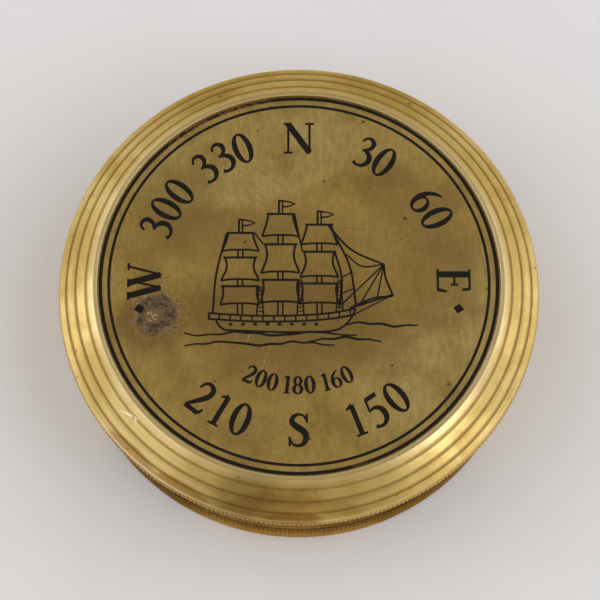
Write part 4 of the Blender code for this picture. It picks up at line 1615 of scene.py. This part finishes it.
@dataclass
class Lid:
    """The grooved and knurled lid ring, the plate in it, and the liner and seal inside."""

    ring: NodeBox = boxed("lid_ring")
    plate: NodeBox = boxed("lid_plate")
    liner: NodeBox = boxed("lid_liner")
    seal: NodeBox = boxed("lid_seal")
    rim_top: float = 18.0
    crest_radius: float = 32.2
    thread_radius: float = 35.1
    ceiling: float = 18.75
    web_bottom: float = 19.9
    web_radius: float = 29.6
    seal_bore: float = 32.7
    grooves: tuple[float, ...] = (33.4, 35.1, 36.65)
    groove_half: float = 0.26
    groove_depth: float = 0.12
    groove_dirt: float = 0.62
    bead_height: float = 1.15
    # Angle, in degrees, of the painted highlight on the rim's rounded edge.
    polished: float = 226.0
    columns: int = 480

    def bevel_height(self, radius: float | Array) -> float | Array:
        """Height of the sloping face at a radius: a straight line from the crest to the rim."""
        share = (self.ring.radius - radius) / (self.ring.radius - self.crest_radius)
        return self.rim_top + share * (self.ring.top - self.rim_top)

    def outline(self) -> Array:
        """The ring's closed outline: up the inside from the thread, over the crest, down the bevel."""
        r, low, top = self.ring.radius, self.ring.bottom, self.ring.top
        inner = self.plate.radius + 0.05
        seat = self.plate.bottom - 0.05
        corners: list[Corner] = [
            (self.thread_radius, low + 0.2, 0.0), (self.thread_radius, self.ceiling, 0.0),
            (inner, self.ceiling, 0.0), (inner, self.web_bottom, 0.0),
            (self.web_radius, self.web_bottom, 0.0),
            (self.web_radius, seat, 0.0), (inner, seat, 0.0), (inner, top, 0.07),
            (self.crest_radius, top, 0.12),
        ]
        half = self.groove_half
        for radius in self.grooves:
            corners += [
                (radius - half, self.bevel_height(radius - half), 0.12),
                (radius, self.bevel_height(radius) - self.groove_depth, 0.18),
                (radius + half, self.bevel_height(radius + half), 0.12),
            ]
        wall = r - 0.12
        corners += [
            (wall, self.rim_top + 0.08, 0.4), (wall, low + 0.15, 0.0), (r - 0.4, low + 0.02, 0.05),
            (self.thread_radius + 0.2, low, 0.0),
        ]
        return soften(corners, steps=5)

    def bevel_marks(self, outline: Array, angles: Array) -> tuple[Array, Array]:
        """Grime and wear of each point.

        Grime is a bell curve round each groove's bottom, on the bevel only, fainter at its front and back.
        Wear is bright on the crest, where it also paints the crest edge's highlight, and round the rim's
        rounded edge, with a painted highlight on one side of it; there is a little on the bevel next to the
        crest.
        """
        radius, height = outline[:, 0], outline[:, 1]
        bevel = height > self.bevel_height(radius) - 2 * self.groove_depth
        bells = sum(np.exp(-(((radius - g) / (0.68 * self.groove_half)) ** 2)) for g in self.grooves)
        crest = smooth_step(radius, self.plate.radius, self.plate.radius + 0.1)
        crest = crest * (1 - smooth_step(radius, self.plate.radius + 0.3, self.crest_radius + 0.1))
        beside = 0.3 * (1 - smooth_step(radius, self.crest_radius, self.crest_radius + 1.2))
        on_top = height > self.bevel_height(self.crest_radius + 1.3)
        at_rim = smooth_step(radius, self.ring.radius - 0.42, self.ring.radius - 0.2)
        rim = at_rim * (height > self.rim_top - 0.1)
        # Wear all round the rim's edge, and a painted highlight on one side of it.
        rim_wear_and_highlight = 0.2 + 0.7 * np.exp(-(((angles - math.radians(self.polished)) / 0.38) ** 2))
        wear = (np.maximum(0.75 * crest, beside) * on_top)[:, None] + rim[:, None] * rim_wear_and_highlight
        fade = 0.62 + 0.38 * np.abs(np.cos(angles))
        return np.where(bevel, self.groove_dirt * bells, 0.0)[:, None] * fade, wear

    def make_ring(self) -> None:
        """Builds the ring: outline carried round, with the inner thread's ridge taken from its radius."""
        angles = round_angles(self.columns)
        outline = refine_between(self.outline(), self.ring.bottom + 0.3, self.ceiling - 0.1, 0.1)
        ridge = Thread(self.thread_radius, 16.6, 0.5).ridge(outline, angles)
        dirt, wear = self.bevel_marks(outline, angles)
        surface = Surface()
        grid = spin(outline, angles, ridge)
        surface.add(grid, wrap_rows=True, wrap_columns=True, dirt=dirt, wear=wear)
        surface.piece("lid_ring_grooved", LID_BRASS, Body.LID, Slot.TURNED_BRASS, ["lid_ring"])

    def make_bead(self) -> None:
        """Builds the narrow knurled bead along the rim's lower edge."""
        low = self.ring.bottom
        # Its tips are worn bright, strongly enough to paint the bead's highlights.
        bead = Knurl(
            self.ring.radius, low, low + self.bead_height, depth=0.2, edge=0.25, tip_wear=0.6, valley_dirt=0.9
        )
        bead.surface().piece("lid_rim_knurl", LID_BRASS, Body.LID, Slot.TURNED_BRASS)

    def make_plate(self) -> None:
        """Builds the plate in the lid, a disc with fine rows and a rounded edge where grime collects."""
        r, low, high = self.plate.radius + 0.06, self.plate.bottom, self.plate.top
        corners = block(MIDDLE_HOLE, r, low, high, 0, 0.03, 0.03, 0)
        outline = refine(soften(corners, False), 1.0, False)
        dirt = 0.8 * smooth_step(outline[:, 0], r - 0.08, r)[:, None]
        # A pale ring inside the edge: wear that also paints the highlight beside the crest.
        wear = 0.6 * smooth_step(outline[:, 0], r - 0.5, r - 0.3)[:, None] - dirt
        surface = Surface()
        grid = spin(outline, round_angles(256))
        surface.add(grid, wrap_columns=True, cap_rows=True, dirt=dirt, wear=np.clip(wear, 0, 1))
        surface.piece("lid_plate_engraved", ENGRAVED_BRASS, Body.LID, Slot.ENGRAVED_BRASS, ["lid_plate"])

    def make_lining(self) -> None:
        """Builds the thin liner over the glass and the soft ring that the lid closes on."""
        n, s = self.liner, self.seal
        corners = block(MIDDLE_HOLE, n.radius, n.bottom, n.top, 0, 0.08, 0.12, 0)
        surface = turned_solid(corners, 160, 3.0, dirt=0.0)
        surface.piece("lid_liner_disc", SHEET_BRASS, Body.LINER, Slot.ENGRAVED_BRASS, ["lid_liner"])
        corners = block(self.seal_bore, s.radius, s.bottom, s.top, 0.12, 0.12, 0.12, 0.12)
        turned_ring(corners, 200).piece("lid_seal_soft", SEAL_RUBBER, Body.SEAL, Slot.RUBBER, ["lid_seal"])

    def build(self) -> None:
        """Builds the lid's own pieces."""
        self.make_ring()
        self.make_bead()
        self.make_plate()
        self.make_lining()


@dataclass(frozen=True)
class Sail:
    """A square sail: its height range, the half widths of its head and foot, and its mast's place."""

    mast: float
    foot: float
    head: float
    foot_half: float
    head_half: float
    hollow: float = 0.3

    def strokes(self, width: float) -> list[Stroke]:
        """Yard above, two hollow sides and a foot that arches up, as four strokes."""
        m, low, high, a, b = self.mast, self.foot, self.head, self.foot_half, self.head_half
        middle, waist = low + 0.55 * (high - low), 0.5 * (a + b) - self.hollow
        return [
            straight(m - b - 0.3, high, m + b + 0.3, high, 1.1 * width),
            curve(((m - b, high), (m - waist, middle), (m - a, low)), width, width),
            curve(((m + b, high), (m + waist, middle), (m + a, low)), width, width),
            curve(
                ((m - a, low), (m - 0.5 * a, low + 0.22), (m + 0.5 * a, low + 0.22), (m + a, low)),
                width, width,
            ),
        ]


@dataclass
class LidEngraving:
    """Everything cut into the lid's plate and filled with black."""

    face: float = field(default_factory=lambda: NodeBox.of("lid_plate").top)
    inner_circle: float = 29.75
    outer_circle: float = 31.05
    letter_radius: float = 21.55
    letter_height: float = 5.3
    line: float = 0.36
    inner_scale_radius: float = 15.6
    inner_scale_height: float = 2.85
    inner_circle_width: float = 0.52
    outer_circle_width: float = 0.62
    circle_columns: int = 480
    masts: tuple[tuple[float, float], ...] = ((-9.2, 10.3), (-2.9, 13.5), (3.2, 11.7))
    deck: float = -5.3
    rail: tuple[tuple[float, float], ...] = (
        (-14.0, -5.35), (-7.0, -5.75), (0.0, -5.7), (5.0, -5.3), (8.8, -4.6),
    )
    tiers: tuple[tuple[float, ...], ...] = (
        (0.77, 1.0, 2.9, 1.9, 0.15), (0.40, 0.69, 3.0, 2.35, 0.55), (0.10, 0.33, 3.05, 2.7, 0.25),
    )

    def cut_circles(self) -> None:
        """Cuts the fine circle and the broader one at the plate's edge."""
        inner = Linework(self.face)
        inner.circle(self.inner_circle, self.inner_circle_width, self.circle_columns)
        inner.surface.piece("lid_circle_inner", SCALE_FILL, Body.LID)
        outer = Linework(self.face)
        outer.circle(self.outer_circle, self.outer_circle_width, self.circle_columns)
        outer.surface.piece("lid_circle_outer", RIM_FILL, Body.LID)

    def cut_scale(self) -> None:
        """Cuts letters and bearings 30 degrees apart, without 120 and 240, the lower ones upright."""
        work = Linework(self.face, weight=1.2)
        for bearing in (270, 300, 330, 0, 30, 60, 90):
            text = {0: "N", 90: "E", 270: "W"}.get(bearing, str(bearing))
            work.mark(text, angle_of(bearing), self.letter_radius, self.letter_height, Reading.OUTWARDS, 0.05)
        for bearing in (150, 180, 210):
            text = {180: "S"}.get(bearing, str(bearing))
            work.mark(text, angle_of(bearing), self.letter_radius, self.letter_height, Reading.INWARDS)
        work.surface.piece("lid_scale_figures", SCALE_FILL, Body.LID)
        spots = Linework(self.face)
        for bearing in (100.5, 259.5):
            spots.diamond(angle_of(bearing), self.letter_radius + 3.75, 0.85)
        spots.surface.piece("lid_diamonds", SCALE_FILL, Body.LID)

    def cut_inner_scale(self) -> None:
        """Cuts three small bearings under the ship, 20 degrees apart."""
        work = Linework(self.face, weight=1.5)
        for bearing in (200, 180, 160):
            radius, height = self.inner_scale_radius, self.inner_scale_height
            work.mark(str(bearing), angle_of(bearing), radius, height, Reading.INWARDS, 0.03)
        work.surface.piece("lid_inner_figures", SCALE_FILL, Body.LID)

    def rail_height(self, x: float) -> float:
        """Height of the rail's top line."""
        places, heights = zip(*self.rail)
        return float(np.interp(x, places, heights))

    def hull_strokes(self) -> list[Stroke]:
        """Rail with planks, sheer line, stem, stern, bowsprit and a row of ports."""
        w = self.line
        rail = self.rail
        strokes = [
            curve(rail, w, w),
            curve([(x, y - 0.95) for x, y in rail], w, w),
            straight(-14.0, -5.2, -14.0, -6.45, w),
            curve(((-12.9, -6.5), (-12.4, -7.4), (-11.6, -8.1)), w, w),
            curve(((-11.6, -8.1), (-3.0, -8.45), (4.0, -8.35), (6.3, -7.95)), w, w),
            curve(((6.3, -7.95), (7.6, -6.9), (8.9, -4.7)), w, w),
            straight(7.9, -4.55, 14.6, -2.3, 1.2 * w, 0.8 * w),
            straight(8.7, -5.5, 14.5, -2.4, 0.7 * w),
        ]
        for x in np.arange(-12.4, 8.5, 1.7):
            y = self.rail_height(x)
            strokes.append(straight(x, y, x, y - 0.95, 0.8 * w))
        for x in np.arange(-10.6, 4.5, 1.9):
            strokes.append(straight(x - 0.27, -7.15, x + 0.27, -7.15, 0.5))
        return strokes

    def rig_strokes(self) -> list[Stroke]:
        """Masts with pennants, three square sails on each, shrouds with rungs, and stays between them."""
        w, deck = self.line, self.deck
        strokes = []
        for number, (mast, top) in enumerate(self.masts):
            head = top - 2.3
            span = head - deck
            strokes += [
                straight(mast - 0.25, head, mast - 0.25, top, w),
                straight(mast + 0.3, head, mast + 0.3, top, 0.8 * w),
                curve(((mast - 0.3, top), (mast + 1.3, top - 0.25), (mast + 2.3, top - 0.6)), w, 0.6 * w),
                curve(
                    ((mast + 2.3, top - 0.6), (mast + 1.2, top - 1.0), (mast + 0.3, top - 1.05)),
                    0.6 * w, w,
                ),
            ]
            previous = head
            for low, high, foot_half, head_half, hollow in self.tiers:
                yard = deck + high * span
                for side in (-0.38, 0.38):
                    strokes.append(straight(mast + side, previous, mast + side, yard, 0.85 * w))
                strokes += Sail(mast, deck + low * span, yard, foot_half, head_half, hollow).strokes(w)
                previous = deck + low * span + 0.2
            for side in (-0.38, 0.38):
                strokes.append(straight(mast + side, previous, mast + side, deck - 0.3, 0.85 * w))
            strokes += self.shroud_strokes(mast + 3.15, self.rail_height(mast + 3.15), 0.36 * span)
            if number:
                behind, behind_top = self.masts[number - 1]
                stay_foot = deck + 0.69 * span
                strokes.append(straight(behind + 2.2, behind_top - 2.3, mast - 2.65, stay_foot, 0.8 * w))
        mast, top = self.masts[0]
        strokes.append(curve(((-13.4, -5.4), (mast - 3.75, 1.0), (mast - 2.2, top - 2.4)), w, w))
        return strokes

    def shroud_strokes(self, x: float, low: float, height: float) -> list[Stroke]:
        """A narrow rope ladder: two ropes that draw together and the rungs between them."""
        w = 0.75 * self.line
        strokes = [
            straight(x - 0.55, low, x - 0.15, low + height, w),
            straight(x + 0.55, low, x + 0.15, low + height, w),
        ]
        rungs = max(3, int(height / 0.62))
        for rung in range(1, rungs):
            share = rung / rungs
            half = 0.55 - 0.4 * share
            y = low + height * share
            strokes.append(straight(x - half, y, x + half, y, 0.7 * w))
        return strokes

    def jib_strokes(self) -> list[Stroke]:
        """A fan of headsails between the last mast and the bowsprit, with seams from its corner."""
        w = self.line
        tip, corner, heel = (14.7, -2.5), (13.3, 2.7), (8.4, -4.2)
        strokes = [
            curve(((4.6, 9.3), (8.2, 5.2), corner), w, w),
            curve((corner, (13.6, 0.4), tip), w, w),
            curve((tip, (11.6, -2.9), heel), w, w),
            curve(((4.9, 9.0), (7.9, 2.6), (8.9, -3.9)), w, w),
            curve(((5.6, 5.0), (6.7, 0.4), (6.3, -4.6)), w, w),
            curve(((7.4, 4.4), (9.9, 2.4), corner), 0.8 * w, 0.8 * w),
        ]
        for x, y in ((6.6, -4.0), (9.8, -3.4), (12.2, -2.9)):
            strokes.append(straight(*corner, x, y, 0.75 * w))
        for x, y in ((8.3, 1.4), (8.8, -1.2)):
            strokes.append(straight(6.6, y - 0.9, x, y, 0.7 * w))
        return strokes

    def cut_ship(self) -> None:
        """Cuts a plain three-masted ship."""
        work = Linework(self.face)
        work.draw(self.hull_strokes() + self.rig_strokes() + self.jib_strokes())
        work.surface.piece("lid_ship", SCALE_FILL, Body.LID)

    def cut_sea(self) -> None:
        """Cuts four water lines, each a sum of two slow waves that is thinner towards its ends."""
        work = Linework(self.face)
        level = self.deck - 3.3
        lines = (
            (-17.8, 9.0, 0.1, 0.3), (-17.7, 5.5, 1.7, 1.7), (7.2, 18.5, -1.4, 2.4), (1.5, 12.8, 1.0, 4.0),
        )
        for left, right, drop, phase in lines:
            x = np.linspace(left, right, 15)
            y = level - drop + 0.26 * np.sin(0.55 * x + phase) + 0.12 * np.sin(1.7 * x + 2 * phase)
            ends, middle = 0.75 * self.line, 1.2 * self.line
            work.draw([curve(list(zip(x, y)), ends, self.line, middle, self.line, ends)])
        work.surface.piece("lid_sea", SCALE_FILL, Body.LID)

    def build(self) -> None:
        """Cuts the circles, the two scales, the ship and the sea."""
        self.cut_circles()
        self.cut_scale()
        self.cut_inner_scale()
        self.cut_ship()
        self.cut_sea()


# ------------------------------------------------------------------------
# Studio
# ------------------------------------------------------------------------


@dataclass(frozen=True)
class Softbox:
    """A large soft light that faces the object."""

    name: str
    azimuth: float
    elevation: float
    distance: float
    width: float
    height: float
    watts: float
    tint: Colour = (1.0, 1.0, 1.0)

    def build(self, target: Vector) -> None:
        """Hangs the light at its direction and distance, in metres, facing a target."""
        a, e = math.radians(self.azimuth), math.radians(self.elevation)
        out = Vector((math.cos(a) * math.cos(e), math.sin(a) * math.cos(e), math.sin(e)))
        data = bpy.data.lights.new(self.name, "AREA")
        data.shape = "RECTANGLE"
        data.size, data.size_y = self.width, self.height
        data.energy = self.watts
        data.color = self.tint
        light = bpy.data.objects.new(self.name, data)
        light.location = target + out * self.distance
        light.rotation_euler = (-out).to_track_quat("-Z", "Y").to_euler()
        bpy.context.scene.collection.objects.link(light)


@dataclass
class Studio:
    """Floor, lights and camera."""

    target: Vector = field(default_factory=lambda: Vector((0.0, 0.0, 0.018)))
    elevation: float = 70.68
    distance: float = 0.35
    lens: float = 133.03
    shift: tuple[float, float] = (0.0018, -0.0201)
    overhead: Colour = (0.42, 0.38, 0.28)
    side_walls: Colour = (1.02, 1.06, 1.20)
    back_wall: Colour = (0.60, 0.56, 0.47)
    front_wall: Colour = (0.54, 0.50, 0.41)
    softboxes: tuple[Softbox, ...] = (
        Softbox("right_softbox", 10, 26, 0.9, 0.40, 0.40, 0.36, (0.90, 0.97, 1.20)),
        Softbox("front_right_softbox", -31, 38, 0.9, 0.36, 0.36, 0.55, (0.92, 0.98, 1.16)),
        Softbox("left_softbox", 170, 25, 0.9, 0.36, 0.36, 0.36, (0.92, 0.98, 1.18)),
    )

    def lay_floor(self) -> None:
        """Lays a wide pale floor at the height that the case stands on."""
        mesh = bpy.data.meshes.new("floor")
        half, z = 1.5, CAD_LOW.z - 0.00002
        corners = [(-half, -half, z), (half, -half, z), (half, half, z), (-half, half, z)]
        mesh.from_pydata(corners, [], [(0, 1, 2, 3)])
        mesh.materials.append(PaleFloor("pale_floor").material())
        floor = bpy.data.objects.new("floor", mesh)
        bpy.context.scene.collection.objects.link(floor)

    def light(self) -> None:
        """Fills the room with a soft light and hangs the softboxes.

        The room is brightest towards both sides, where a direction's x is large, less bright in front and
        towards the horizon at the back, and it is warmer and dimmer overhead.
        """
        world = bpy.data.worlds.new("studio")
        world.use_nodes = True
        g = Graph(world.node_tree)
        direction = g.add("SeparateXYZ", {"Vector": g.add("TexCoord", {}, "Generated")})
        x, y, z = (direction.node.outputs[i] for i in range(3))
        sides = g.ramp(g.maths("ABSOLUTE", x), 0.12, 0.72)
        back = g.times(g.ramp(z, 0.45, 0.05), g.ramp(y, -0.3, 0.5))
        colour = g.mix(sides, self.overhead, self.side_walls)
        colour = g.mix(g.times(back, g.rest(sides)), colour, self.back_wall)
        front = g.times(g.ramp(y, -0.05, -0.5), g.rest(sides))
        colour = g.mix(front, colour, self.front_wall)
        g.tree.links.new(colour, world.node_tree.nodes["Background"].inputs["Color"])
        bpy.context.scene.world = world
        for softbox in self.softboxes:
            softbox.build(self.target)

    def aim_camera(self) -> None:
        """Looks down at the lid from the front."""
        e = math.radians(self.elevation)
        back = Vector((0.0, -math.cos(e), math.sin(e)))
        data = bpy.data.cameras.new("camera")
        data.lens = self.lens
        data.sensor_width = 36.0
        data.shift_x, data.shift_y = self.shift
        data.clip_start, data.clip_end = 0.01, 10.0
        camera = bpy.data.objects.new("camera", data)
        camera.location = self.target + back * self.distance
        camera.rotation_euler = (-back).to_track_quat("-Z", "Y").to_euler()
        bpy.context.scene.collection.objects.link(camera)
        bpy.context.scene.camera = camera

    def build(self) -> None:
        """Sets the whole studio up."""
        self.lay_floor()
        self.light()
        self.aim_camera()
        bpy.context.scene.view_settings.view_transform = "Standard"


def main() -> None:
    """Builds the compass from the case up, then the studio round it."""
    logging.basicConfig(level=logging.INFO, format="%(message)s")
    for part in (Case(), Dial(), Glazing(), Pivot(), Needle(), Lid(), LidEngraving(), Studio()):
        part.build()
        log.info("%s built", type(part).__name__)


if __name__ == "__main__":
    main()
